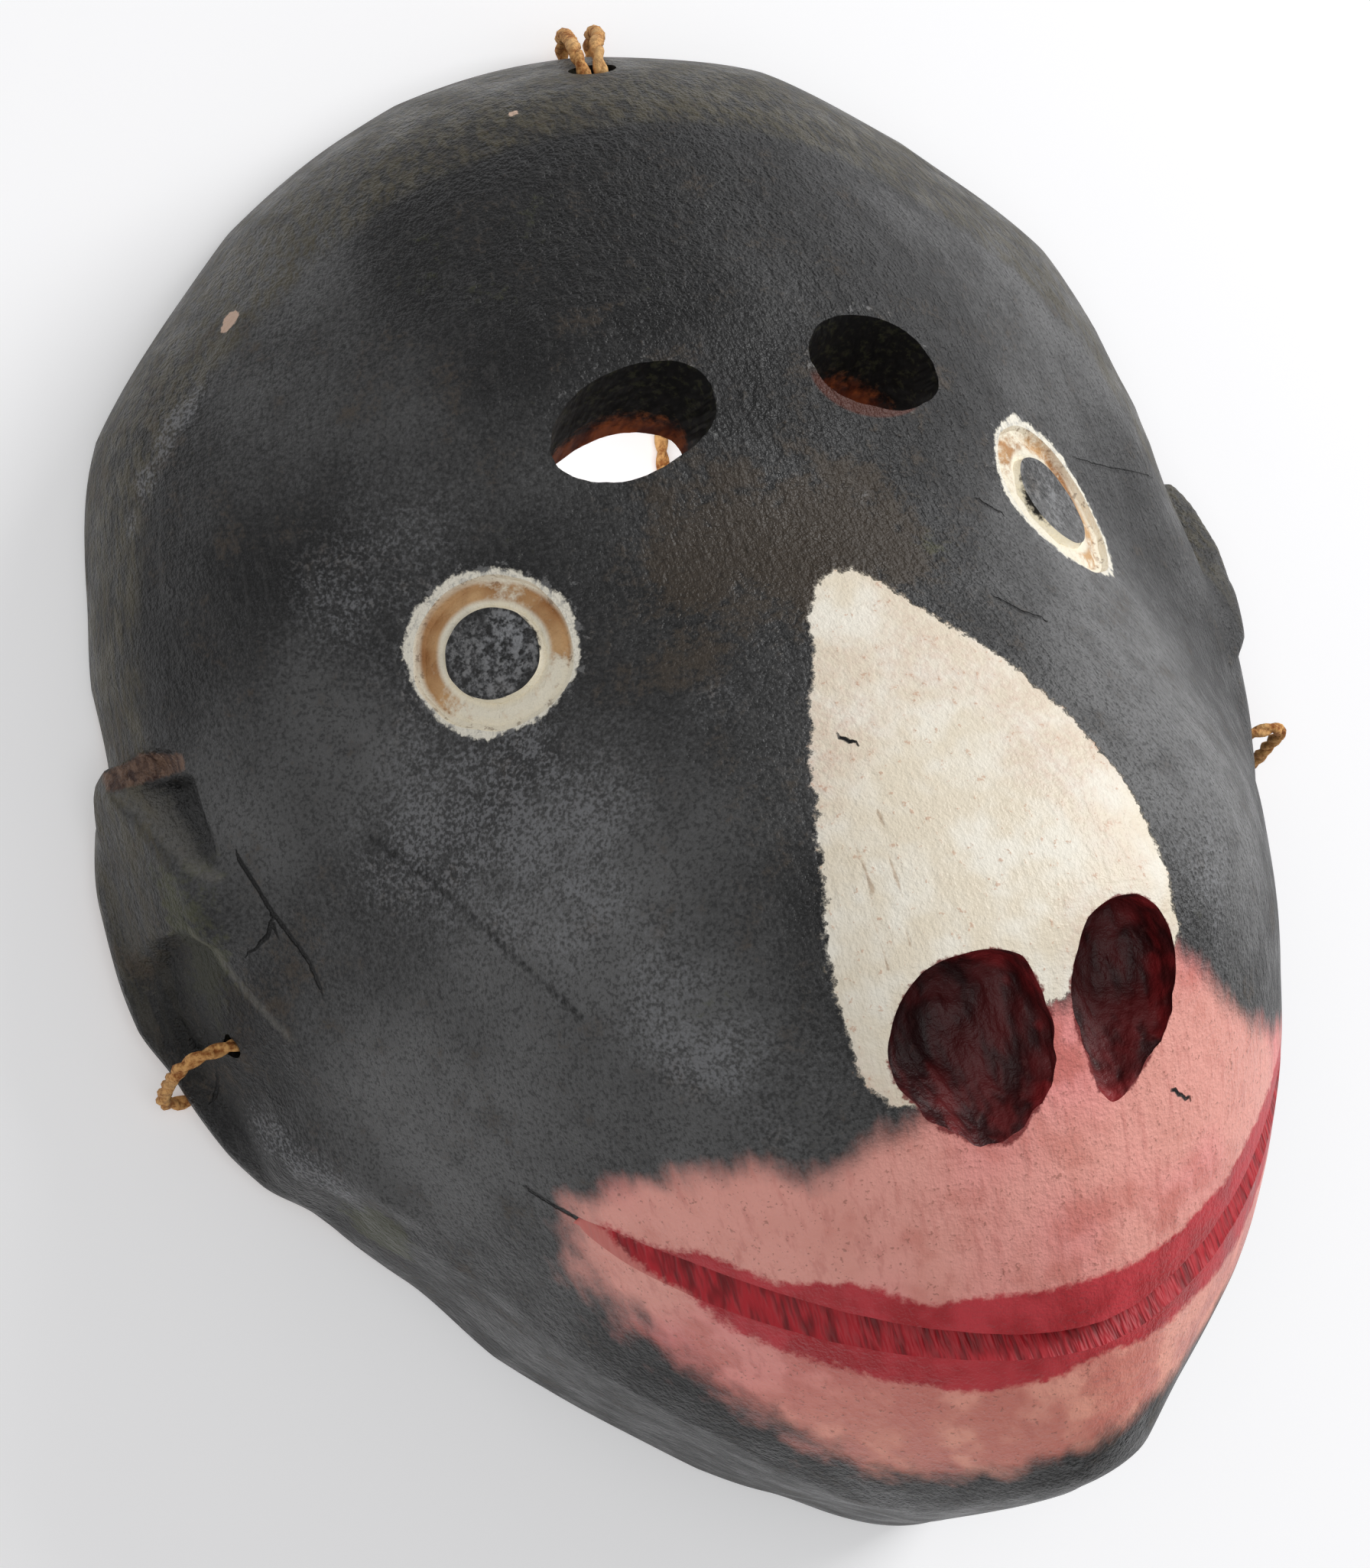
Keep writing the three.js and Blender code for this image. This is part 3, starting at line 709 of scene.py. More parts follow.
def blank_mask(materials):
    """Outside, rim and hollow as one closed skin, before the holes are cut."""
    outside, inside = outer_skin(), hollow_skin()
    points = np.vstack([outside, inside])
    lift_rim(points)
    faces = grid_faces(OUTER_GRID, 0, False) + grid_faces(HOLLOW_GRID, len(outside), True)
    kinds = [PAINT] * OUTER_GRID ** 2 + [INSIDE] * HOLLOW_GRID ** 2
    outer, inner = border(OUTER_GRID), [len(outside) + i for i in border(HOLLOW_GRID)]
    ratio = len(outer) // len(inner)
    for k in range(len(inner)):
        a, b = inner[k], inner[(k + 1) % len(inner)]
        run = [outer[(k * ratio + i) % len(outer)] for i in range(ratio + 1)]
        half = ratio // 2 + 1
        for i in range(ratio):
            faces.append((run[i + 1], run[i], a if i < half else b))
            if i == half - 1:
                faces.append((run[i + 1], a, b))
    kinds += [INSIDE] * (len(faces) - len(kinds))
    return mesh_object("carved_mask", points, faces, materials, kinds)


# ---- carving

SIDES = (-1, 1)
EYE_SECTION = [(1.05, 1.4), (1.0, 0.05), (0.97, -0.9), (0.9, -EYE_DEPTH), (0.8, -0.8), (0.7, -0.75),
               (0.62, -1.1), (0.59, -0.3), (0.57, 1.4)]
EYE_STEPS = 84
EYE_RAGGED = {"by": 0.035, "pace": 2.2}
EYE_ROUGH = {"by": 0.35, "pace": 3}


def eye_axes(eye):
    """Middle of a painted eye, and its short, long and outward directions on the slope."""
    out = surface_normal(eye["x"], eye["y"])
    lean = Vector((0, 0, 1)).rotation_difference(Vector(out))
    turn = Matrix.Rotation(eye["turn"], 3, "Z")
    short = np.array(lean @ (turn @ Vector((1, 0, 0))))
    long_ = np.array(lean @ (turn @ Vector((0, 1, 0))))
    return surface_point(eye["x"], eye["y"]), short, long_, out


def eye_cutter(side):
    eye = EYES[side]
    middle, short, long_, out = eye_axes(eye)
    rings = []
    for c, s in circle(EYE_STEPS):
        ring = []
        for q, up in EYE_SECTION:
            pace = EYE_RAGGED["pace"]
            spread = q * (1 + EYE_RAGGED["by"] * wobble(pace * c, pace * s, side * 3 + q))
            flat = (middle + eye["half_width"] * c * spread * short
                    + eye["half_height"] * s * spread * long_)
            if up < 0:
                pace = EYE_ROUGH["pace"]
                up = up * (1 + EYE_ROUGH["by"] * wobble(pace * c, pace * s, side * 5))
            ring.append(surface_point(flat[0], flat[1]) + out * up)
        rings.append(ring)
    return loft(rings, joined=True)


def around(outline):
    """Middle of an outline, and a function giving the outline's distance from it at any angle."""
    points = np.array(outline, float)
    middle = points.mean(0)
    angle = np.arctan2(*(points - middle).T[::-1])
    order = np.argsort(angle)
    reach = np.linalg.norm(points - middle, axis=1)[order]
    turn = 2 * math.pi
    angle = np.concatenate([angle[order] - turn, angle[order], angle[order] + turn])
    return middle, lambda a: np.interp(a, angle, np.tile(reach, 3))


STEEP_WALL = 1.16
DEEPER_TOWARDS = {-1: (-0.3, 0.24), 1: (0.12, 0.26)}
BALL_FINENESS = 5
GOUGES = {"by": 0.1, "pace": (2.1, 1.3, 2)}
SPLITS = {"by": 0.05, "pace": (7, 2.5, 7)}


def nostril_cutter(side):
    """A pit with the marks of the gouge in it."""
    middle, reach_at = around(NOSTRILS[side])
    ball = bmesh.new()
    bmesh.ops.create_icosphere(ball, subdivisions=BALL_FINENESS, radius=1)
    top = surface_point(*middle)[2] + NOSTRIL_ABOVE
    points = []
    for vertex in ball.verts:
        d = vertex.co
        x, y, z = (pace * at for pace, at in zip(GOUGES["pace"], d))
        rough = GOUGES["by"] * wobble(x + side, y, z)
        x, y, z = (pace * at for pace, at in zip(SPLITS["pace"], d))
        rough += SPLITS["by"] * wobble(x, y, side + z)
        r = 1 + rough * smoothstep(-d.z, 0, 0.4)
        spread = min(STEEP_WALL, 1 / max(math.hypot(d.x, d.y), 0.1))
        flat = middle + reach_at(math.atan2(d.y, d.x)) * spread * r * np.array((d.x, d.y))
        deeper = 1 + DEEPER_TOWARDS[side][0] * d.x + DEEPER_TOWARDS[side][1] * d.y
        points.append((flat[0], flat[1], top + (NOSTRIL_DEPTH + NOSTRIL_ABOVE) * deeper * r * d.z))
    faces = [tuple(v.index for v in face.verts) for face in ball.faces]
    ball.free()
    points = np.array(points)
    return points, outward(points, faces)


def mouth_line(x):
    return MOUTH["y"] + MOUTH["rise"] * (abs(x) / MOUTH["half_width"]) ** MOUTH["curve"]


MOUTH_STATIONS = 110
MOUTH_FLOOR = 7
MOUTH_LEAST_OPEN = 0.02
LIP_WAVE = {"by": 0.25, "pace": 0.25, "seed": 4.1}
FLOOR_ROUGH = {"by": 0.3, "pace": (0.9, 3), "seed": 1.7, "hollow": 0.5}


def mouth_cutter():
    """A steep cut under the upper lip, rising again to the lower lip."""
    rings = []
    for i in range(MOUTH_STATIONS + 1):
        x = MOUTH["half_width"] * math.sin((2 * i / MOUTH_STATIONS - 1) * math.pi / 2)
        y = mouth_line(x) + LIP_WAVE["by"] * wobble(LIP_WAVE["pace"] * x, LIP_WAVE["seed"], 0)
        lip, lip_out = surface_point(x, y), surface_normal(x, y)
        open_ = max(1 - (x / MOUTH["half_width"]) ** 2, MOUTH_LEAST_OPEN)
        slope = mouth_line(x + 0.5) - mouth_line(x - 0.5)
        chinward = np.array([slope, -1.0]) / math.hypot(slope, 1)
        flare = 1 + MOUTH["flare"] * (x / MOUTH["half_width"]) ** 2
        reach = MOUTH["lower_lip"] * flare * open_ ** MOUTH["lip_power"]
        low = surface_point(x + chinward[0] * reach, y + chinward[1] * reach)
        low_out = surface_normal(low[0], low[1])
        deep = lip - lip_out * MOUTH["depth"] * math.sqrt(open_)
        ring = [lip + lip_out * MOUTH["clear"]]
        for k in range(MOUTH_FLOOR + 1):
            t = k / MOUTH_FLOOR
            up = -FLOOR_ROUGH["hollow"] * open_ * t * (1 - t)
            if 0 < k < MOUTH_FLOOR:
                along, across = FLOOR_ROUGH["pace"]
                rough = wobble(along * x, across * t, FLOOR_ROUGH["seed"])
                up += FLOOR_ROUGH["by"] * math.sqrt(open_) * rough
            ring.append(deep * (1 - t) + low * t + low_out * up)
        ring.append(low + low_out * MOUTH["clear"])
        rings.append(ring)
    return loft(rings)


HOLE_SIDES = 64
HOLE_LEVELS = 14
HOLE_UNEVEN = {"by": 0.045, "pace": 1.6, "down": 0.09}
HOLE_CHISELLED = {"by": 0.02, "pace": 6, "down": 0.1}


def sight_hole_cutter(side):
    h = SIGHT_HOLE
    lean_x, lean_y = SIGHT_LEAN[side]
    middle = surface_point(h["x"], h["y"])
    rings = []
    for k in range(HOLE_LEVELS + 1):
        drop = h["below"] - (h["below"] + h["above"]) * k / HOLE_LEVELS
        ring = []
        for c, s in circle(HOLE_SIDES):
            spread = 1
            for marks, offset in ((HOLE_UNEVEN, side), (HOLE_CHISELLED, 0)):
                pace = marks["pace"]
                spread += marks["by"] * wobble(pace * c + offset, pace * s, marks["down"] * drop)
            ring.append((side * (middle[0] + drop * lean_x + h["half_width"] * spread * c),
                         middle[1] + drop * lean_y + h["half_height"] * spread * s,
                         middle[2] - drop))
        rings.append(ring)
    return loft(rings)


ROD_SIDES = 20


def cord_hole_cutter(hole, side=0):
    """A rod through the wall, sideways at an ear or, with no side, upwards at the crown."""
    middle = np.array(((side or 1) * hole["x"], hole["y"], hole["z"]), float)
    outwards = np.array((side, 0 if side else 1, hole["slope"]))
    start, end = middle + hole["out"] * outwards, middle - hole["into"] * outwards
    along = (end - start) / np.linalg.norm(end - start)
    across = np.cross(along, (0, 0, 1))
    across /= np.linalg.norm(across)
    over = np.cross(along, across)
    radius = hole["diameter"] / 2
    return loft([[at + radius * (c * across + s * over) for c, s in circle(ROD_SIDES)]
                 for at in (start, end)])


SHARP_FROM_DEGREES = 38


def carve(mask, materials):
    """Cuts every hole and hollow in one go, and keeps each cut's own material."""
    cuts = [(mouth_cutter(), MOUTH_RED), (cord_hole_cutter(CROWN_HOLE), TUNNEL)]
    for side in SIDES:
        cuts += [(sight_hole_cutter(side), TUNNEL), (eye_cutter(side), EYE_WOOD),
                 (nostril_cutter(side), NOSTRIL_RED), (cord_hole_cutter(TIE_HOLE, side), TUNNEL)]
    kinds = [kind for (_, faces), kind in cuts for _ in faces]
    cutter = mesh_object("cutter", *merged(cut for cut, _ in cuts), materials, kinds)
    modifier = mask.modifiers.new("carve", "BOOLEAN")
    modifier.solver = "MANIFOLD"
    modifier.operation = "DIFFERENCE"
    modifier.object = cutter
    bpy.context.view_layer.update()
    graph = bpy.context.evaluated_depsgraph_get()
    carved = bpy.data.meshes.new_from_object(mask.evaluated_get(graph))
    mask.modifiers.clear()
    mask.data = carved
    carved.set_sharp_from_angle(angle=math.radians(SHARP_FROM_DEGREES))
    bpy.data.objects.remove(cutter)


# ---- where the paint, the wear and the painted light lie

BLAZE = [
    (1.9, 23), (-0.9, 23.6), (-4.1, 22.5), (-6.9, 19.2), (-8.5, 16.1), (-9.8, 13.6), (-13.6, 7),
    (-16.4, 1.5), (-20.5, -8.4), (-23.9, -19.8), (-25.6, -26.7), (-25.2, -31.4), (-24.7, -38.1),
    (-21.8, -42.3), (-16, -44), (-3, -36), (3, -35), (12, -38), (20.3, -33.4), (20.8, -25.3),
    (21.3, -17.4), (19.9, -9.5), (17.7, -1.9), (14.9, 4.8), (9.5, 12.4), (6.1, 17.6), (3.9, 20.8),
]
PINK = [
    (-54, -44.3), (-45.3, -43.6), (-37.9, -44.7), (-29.7, -48.3), (-25.9, -45.6), (-20.4, -45.2),
    (-10, -40), (-1, -36), (6, -36), (14, -38), (19.8, -33.6), (24.3, -39.5), (30, -46.5),
    (38, -50), (46, -51), (54, -50), (54, -54), (46.5, -66.6), (36, -77), (26.2, -82.5),
    (15.3, -88.7), (0.1, -92.7), (-11.2, -94), (-22.3, -91.4), (-30.6, -85.8), (-38.9, -76.5),
    (-46.5, -66.6), (-54, -54),
]
RED = [
    (-52, -47.5), (-47.1, -52.1), (-42.4, -54.4), (-36.4, -60.1), (-29, -62.2), (-21, -67.5),
    (-12.9, -69), (-4.6, -70.3), (5.2, -70.8), (14.6, -68.9), (23.3, -65.6), (31, -61.2),
    (37.5, -57.5), (42.4, -54.4), (47.1, -51.6), (52, -47.5), (49.1, -54.4), (45.1, -60.7),
    (41.6, -65.3), (36.6, -69.3), (31.4, -73.1), (26, -76.5), (15, -79.8), (7.9, -81.5), (1, -81.1),
    (-7.9, -82.1), (-14.4, -81.6), (-20.7, -79.1), (-26, -76.5), (-31.4, -73.1), (-36.6, -69.3),
    (-41.6, -64.3), (-45.1, -58.7), (-49.1, -53.9),
]
CRACKS = [
    [(-76.8, 10.2, 32.5), (-75.9, 5.8, 33.9), (-75, 2.1, 34.8), (-73.8, -1.9, 36.1),
     (-72.7, -5.4, 37.3), (-72.3, -9.3, 38)],
    [(-75.3, 1.1, 34.6), (-76.2, -1, 33.5), (-78.3, -2.2, 31)],
    [(52.6, 31.8, 49.5), (60, 29.9, 44.2), (70.8, 27.6, 36.1)],
    [(26.5, 28.1, 68.3), (28.7, 26.2, 67.8)],
    [(18.9, 14.2, 80.5), (21.5, 11.6, 81.2), (23.7, 10.5, 80.8)],
    [(-57.5, -42, 57), (-56.4, -43.5, 58.1), (-54.9, -45.3, 59.6), (-53.2, -47.3, 61.4)],
    [(-84.2, -17.3, 13.2), (-84.3, -19.2, 10.6), (-84.9, -20.5, 8.5)],
    [(15.6, -51.9, 95.5), (17, -53.1, 94.6)],
    [(-11.8, 2.3, 90.3), (-11.3, 1.6, 90.6)],
]
# Knife edges on the left ear, along which a painted highlight runs.
KNIFE_EDGE_HIGHLIGHTS = [
    [(0, 23.9, 16.8), (0, 20.5, 20), (0, 16.5, 23.2), (0, 12, 26.6), (0, 8.3, 30)],
    [(0, 2.9, 25.7), (0, -2.9, 27.2), (0, -9.9, 29.8), (0, -15.3, 32.3)],
]
SCRATCHES = [[(-12.5, -7.5), (-14.3, -16), (-15.6, -24.3)], [(-18.1, -17.7), (-18.9, -26.1)],
             [(-16.6, -10), (-17.4, -17)],
             [(-62.1, 7.7), (-58.1, 0.2), (-55, -7.4), (-52.2, -15.2), (-49.5, -21.6)]]
# Spots: x, y, z if not on the surface, radius, strength.
BARE_RING = [(-52, 30, 6.5, 1.3), (-33.5, 29, 5.5, 1.1), (-45, 36, 5, 0.9), (49, 28, 5, 1.2),
             (38, 34, 4, 0.8), (46, 19, 3, 0.6)]
RUBBED_PUPIL = [(-38.8, 28.6, 2.6, 1), (-43.5, 25, 4, 0.5), (-41, 21, 3, 0.4), (43, 26, 3, 0.4)]
HOLE_RIM = [(7.4, 46, 3.5, 1), (13, 41.5, 3.5, 1), (19, 41, 3, 0.8)]
# Paler spots of wear, with painted sheen on the right cheek and temple.
WEAR_AND_SHEEN = [(-52, 5, 58, 18, 0.5), (-45, -20, 78, 14, 0.5), (42, 5, 70, 14, 1.5),
        (36, -14, 84, 13, 1.9), (60, 48, 42, 16, 1.0), (46, 84, 32, 16, 0.5),
        (-60, 70, 34, 10, 0.3), (-68, -29, 41, 13, 0.9), (-74, -21, 36, 10, 0.6),
        (-60, -23, 58, 13, 0.9), (24, -11, 94, 8, 1.0)]
# Chalky wear, with painted sheen on the right cheek.
CHALK_AND_SHEEN = [
    (-54.7, 8, 54, 8, 0.75), (-48, 1, 66, 10, 0.9), (-47, -5, 70, 8, 0.85), (-60, 6, 49, 7, 0.55),
    (-41.7, -2, 75, 7, 0.5), (-41.5, -23, 84, 5.5, 1.5), (-38.5, -29, 87.5, 4, 1.7),
    (-34, -38.5, 90, 5, 0.7), (-57, 38.7, 45, 6, 0.6), (-48, 44, 51, 8, 0.6),
    (-44, 16, 62, 6, 0.55), (-22.6, 11.4, 80.8, 2.4, 0.9), (-42.6, 12.8, 64.6, 1.3, 1.6),
    (-45.5, -5.6, 72.7, 1.0, 1.7), (7.8, 32.1, 73.3, 1.0, 0.8), (-62.8, 73.5, 27.9, 1.4, 2.4),
    (-66.2, 71.1, 26.4, 1.6, 2.6), (-69.3, 68.2, 25.2, 1.6, 2.6), (-73.1, 64.1, 22.9, 1.6, 2.2),
    (-76.5, 59.2, 20.7, 1.4, 1.8), (-80.9, -27.9, 16.7, 3.5, 1.4), (-78.2, -33.1, 20.8, 3, 1.7),
    (-75.7, -36, 24.6, 2.6, 2.1), (-84.2, 3.2, 21, 0.9, 1.4), (-52, 24, 53, 5, 0.5),
    (26.5, -30.4, 96.9, 6, 0.6), (34, -24, 91, 9, 0.65), (33, -8, 85, 9, 0.45),
]
BROWN = [
    (-16.3, 34.2, 71.1, 4.5, 0.9), (-22.5, 27.6, 70.6, 4.5, 0.7), (-24.7, 18.3, 74.8, 3.5, 0.6),
    (-7.4, 30.5, 73.8, 7, 0.7), (1.2, 30.3, 74.2, 7, 0.9), (9.6, 26, 75.3, 7, 0.8),
    (0.2, 21, 79.7, 6, 0.6), (-5.7, 23.2, 77.4, 6, 0.6), (-15.5, 21.8, 76.3, 6, 0.5),
    (-18, 5, 84, 5, 0.35), (-20, -3, 87, 5, 0.3), (-86, 26, 8, 4, 0.6), (-84, 1.5, 20, 3, 0.6),
    (-90, -0.5, 9.5, 3, 1.2), (-78, -8, 29.5, 4, 0.8), (-85, -10, 12, 5, 0.5),
    (-74, -3, 38, 4, 0.7), (-72, 70, 22, 12, 0.4),
]
GREEN = [(-70.5, -44.7, 18.3, 4, 1.2), (-70.1, -43.2, 25.6, 3, 0.9), (-82, 8, 24, 5, 0.6),
         (-83, -4, 22, 6, 0.7), (-16, 74, 52, 12, 0.1), (-30, 80, 44, 14, 0.15),
         (10, 24, 76, 6, 0.35)]
RAW_WOOD = [(-55.8, 82.7, 26.3, 1.5, 1.6), (-12, 99.3, 41.1, 0.7, 1.5), (8, 42, 66, 4, 1)]
EAR_FLAT = [(23.9, 25.6), (26.2, 26), (28.6, 16), (26.8, 12), (24.2, 15.6)]
BAND_EDGE = [
    (-118, 0.97), (-90, 0.965), (-62, 0.95), (-47, 0.925), (-34, 0.895), (-20, 0.861), (0, 0.805),
    (20, 0.79), (45, 0.8), (60, 0.84), (90, 0.93), (118, 0.97),
]

# How far the distances written on the mask reach, and how its noises are drawn.
FAR = 20.0
EDGE_REACH = 12.0
EYE_FAR = 4.0
EYE_ROOM = 20
HOLE_REACH = {"radius": 9, "in": 6}
LEFT_WALL_X = -60
OFF_THE_FLAT = -5
CLOUD_OCTAVES = 3
TONE = {"scale": 0.03, "offset": 0}
PATCHES = {"scale": 0.14, "offset": 5}
PATCHY = {"chalk_and_sheen": 0.8, "stain": 0.35}
SMOKE = {"scale": 0.3, "offset": 40}
SMOKE_DRAWN_OUT = (1, 0.45, 1)
SMOKE_EDGE = 1.6
# The forehead's paint is drawn darker.
FOREHEAD = {"y": (15, 60), "z": (20, 60), "darker_by": 0.5}


def blobs(points, spots):
    total = np.zeros(len(points))
    for x, y, z, radius, strength in spots:
        square = ((points - (x, y, z)) ** 2).sum(1)
        total += strength * np.exp(-square / (2 * radius * radius))
    return total


def nearest_line(points, normals, lines):
    """Distance to the nearest of the lines, and the same but below zero on one side of it."""
    near = np.full(len(points), FAR)
    sided = near
    for line in np.array([pair for line in lines for pair in zip(line[:-1], line[1:])], float):
        a, along = line[0], line[1] - line[0]
        t = np.clip((points - a) @ along / (along @ along), 0, 1)
        away = points - a - t[:, None] * along
        distance = np.linalg.norm(away, axis=1)
        side = np.sign(np.einsum("ij,ij->i", np.cross(along, normals), away))
        sided = np.where(distance < near, distance * side, sided)
        near = np.minimum(near, distance)
    return near, sided


def surface_spots(spots):
    """Spots given by x, y, radius and strength, set on the surface."""
    return [(*surface_point(x, y), radius, strength) for x, y, radius, strength in spots]


def eye_fraction(points):
    """How far out from the eye's middle a point is: 1 at the channel's outer edge."""
    best = np.full(len(points), EYE_FAR)
    for eye in EYES.values():
        middle, short, long_, _ = eye_axes(eye)
        away = points - middle
        q = np.hypot(away @ short / eye["half_width"], away @ long_ / eye["half_height"])
        best = np.minimum(best, q + np.maximum(np.abs(away).max(1) - EYE_ROOM, 0))
    return best


def nostril_depth_in(x, y):
    """About how far inside a nostril's edge a point is."""
    best = np.full(len(x), -EDGE_REACH)
    for outline in NOSTRILS.values():
        middle, reach_at = around(outline)
        dx, dy = x - middle[0], y - middle[1]
        best = np.maximum(best, reach_at(np.arctan2(dy, dx)) - np.hypot(dx, dy))
    return best


def clouds(points, scale, offset):
    """Fractal noise, about -1 to 1, at points in millimetres."""
    shift = Vector((offset, 0, 0))
    return np.array([noise.fractal(Vector(p) * scale + shift, 1.0, 2.0, CLOUD_OCTAVES)
                     for p in points])


def per_point(mesh, name):
    values = np.zeros(len(mesh.vertices) * 3)
    mesh.vertices.foreach_get(name, values)
    return values.reshape(-1, 3)


def places_at(points, normals):
    """How far each place of paint, wear or painted light is from each point, or how strong it is
    there.
    """
    x, y, z = points.T
    degrees = np.degrees(np.arctan2(x, y))
    left_wall = x < LEFT_WALL_X
    tone, patches = clouds(points, **TONE), clouds(points, **PATCHES)
    smoke = clouds(points * SMOKE_DRAWN_OUT, **SMOKE)
    forehead = smoothstep(y, *FOREHEAD["y"]) * smoothstep(z, *FOREHEAD["z"])
    carved = np.max([signed_distance(cut["edge"], y, z) for cut in EAR_CARVED], axis=0)
    knife, _ = nearest_line(points * (0, 1, 1), normals, KNIFE_EDGE_HIGHLIGHTS)
    scratches = [[surface_point(*at) for at in line] for line in SCRATCHES]
    scratch, _ = nearest_line(points, normals, scratches)
    crack_near, crack_side = nearest_line(points, normals, CRACKS)
    hole = np.hypot((np.abs(x) - SIGHT_HOLE["x"]) / SIGHT_HOLE["half_width"],
                    (y - SIGHT_HOLE["y"]) / SIGHT_HOLE["half_height"])
    out_share = np.hypot(x, y) / outline_at(np.abs(degrees))
    return {
        "blaze": np.clip(signed_distance(BLAZE, x, y), -EDGE_REACH, EDGE_REACH),
        "pink": np.clip(signed_distance(PINK, x, y) + SMOKE_EDGE * smoke, -FAR, FAR),
        "red": np.clip(signed_distance(RED, x, y), -EDGE_REACH, EDGE_REACH),
        "eye": eye_fraction(points),
        "nostril": np.clip(nostril_depth_in(x, y), -EDGE_REACH, EDGE_REACH),
        "hole": np.clip(HOLE_REACH["radius"] * (hole - 1), -HOLE_REACH["in"], EDGE_REACH),
        "drop": outside_height(x, y) - z,
        "tone": tone,
        "wear_and_sheen": tone + blobs(points, WEAR_AND_SHEEN) - FOREHEAD["darker_by"] * forehead,
        "chalk_and_sheen": blobs(points, CHALK_AND_SHEEN) * np.clip(1 + PATCHY["chalk_and_sheen"] * patches, 0, 2),
        "brown": blobs(points, BROWN) + PATCHY["stain"] * patches,
        "green": blobs(points, GREEN) - PATCHY["stain"] * patches,
        "raw": blobs(points, RAW_WOOD),
        "bare": blobs(points, surface_spots(BARE_RING)),
        "rubbed": blobs(points, surface_spots(RUBBED_PUPIL)),
        "rim": blobs(points, surface_spots(HOLE_RIM)),
        "knife": np.where(left_wall, knife, FAR),
        "shade": np.where(left_wall, carved, -FAR),
        "scratch": scratch,
        "flat": np.where(x < 0, signed_distance(EAR_FLAT, y, z), OFF_THE_FLAT),
        "crack_near": crack_near,
        "crack_side": crack_side,
        "band": 100 * (out_share - level_curve(BAND_EDGE)(degrees)),
    }


def paint_places(mask):
    """Writes the places of paint, wear and painted light on the mask, point by point."""
    points, normals = per_point(mask.data, "co") / MM, per_point(mask.data, "normal")
    for name, values in places_at(points, normals).items():
        attribute = mask.data.attributes.new(name, "FLOAT", "POINT")
        attribute.data.foreach_set("value", values.astype(np.float32))


# ---- materials of the mask


class PaintedWood(Shading):
    """A material with the few noises that the paints of the mask share."""

    def __init__(self, name, roughness, specular):
        super().__init__(name, roughness, specular)
        self.fine = self.noise(720, detail=3, roughness=0.7)
        self.grit = self.noise(1900, detail=1, roughness=0.6)
        self.medium = self.noise(150, detail=2, roughness=0.6)
        self.grain = self.streaks(800, 110, 600, detail=3, roughness=0.65)
        self.uneven = self.times(self.add(self.fine, self.medium), 0.5)

    def centred(self, value, amount):
        return self.times(self.add(value, -0.5), amount)

    def ragged(self, name, amount):
        """What is written on the mask under a name, made uneven by the finest noise."""
        return self.add(name, self.centred(self.fine, amount))


def crack_line(s):
    """One on the crack itself, with a ragged width, else nothing."""
    off_line = s.math("ABSOLUTE", s.ragged("crack_side", 0.5))
    return s.times(s.fade(off_line, 0.18, 0.4), s.fade("crack_near", 0.9, 1.5))


def black_paint(s):
    """Worn black paint with brown, olive and chalky places, and painted sheen, glints, shade and
    highlights.
    """
    wear_and_sheen = s.attribute("wear_and_sheen")
    # Lighter with wear of the paint, and with painted sheen on the right cheek and temple.
    colour = s.blend(wear_and_sheen, -0.6, 1.8, (16, 16, 17), (104, 104, 104))
    colour = s.coat(colour, s.span(s.medium, 0.5, 0.72), (56, 56, 57), 0.35)
    gritty = s.add(s.centred(s.grit, 1.2), s.centred(s.fine, 0.6))
    # Pale flecks on the pebbled paint are painted glints of its sheen, most where the paint is
    # paler.
    flecks = s.times(s.span(gritty, 0.0, 0.25), s.span(wear_and_sheen, -0.5, 0.5, 0.1, 0.42))
    colour = s.coat(colour, flecks, (96, 96, 97))
    colour = s.coat(colour, s.fade(gritty, -0.2, -0.02, 0.5), (10, 10, 10))
    colour = s.coat(colour, s.span(s.grain, 0.54, 0.72), (84, 83, 82), 0.3)
    band = s.times(s.span("band", -0.8, 1.2), s.span(s.place_y(), -0.03, 0.03))
    colour = s.coat(colour, s.times(band, s.span(s.grain, 0.4, 0.6, 0.1, 0.8)), (78, 72, 54))
    brown = s.add("brown", s.add(s.centred(s.uneven, 5.0), s.centred(s.grit, 1.0)))
    colour = s.coat(colour, s.span(brown, 0.25, 1.15), (74, 62, 48), 0.6)
    colour = s.coat(colour, s.span(s.ragged("green", 1.3), 0.35, 0.75), (74, 76, 46), 0.6)
    # Chalky pale grey: partly chalky wear, partly painted sheen on the right cheek.
    chalk_and_sheen = s.times("chalk_and_sheen", s.span(gritty, -0.12, 0.3, 0.15, 1.0))
    colour = s.coat(colour, s.span(chalk_and_sheen, 0.0, 1.2, 0.0, 0.6), (132, 133, 136))
    colour = s.coat(colour, s.fade(s.ragged("scratch", 0.8), 0.15, 0.75, 0.85), (14, 14, 14))
    colour = s.coat(colour, s.span("shade", -0.2, 0.7, 0.0, 0.55), (14, 14, 13))
    # Painted highlight along the knife edges of the ear's cuts.
    return s.coat(colour, s.fade(s.ragged("knife", 0.8), 0.2, 0.8, 0.24), (150, 146, 136))


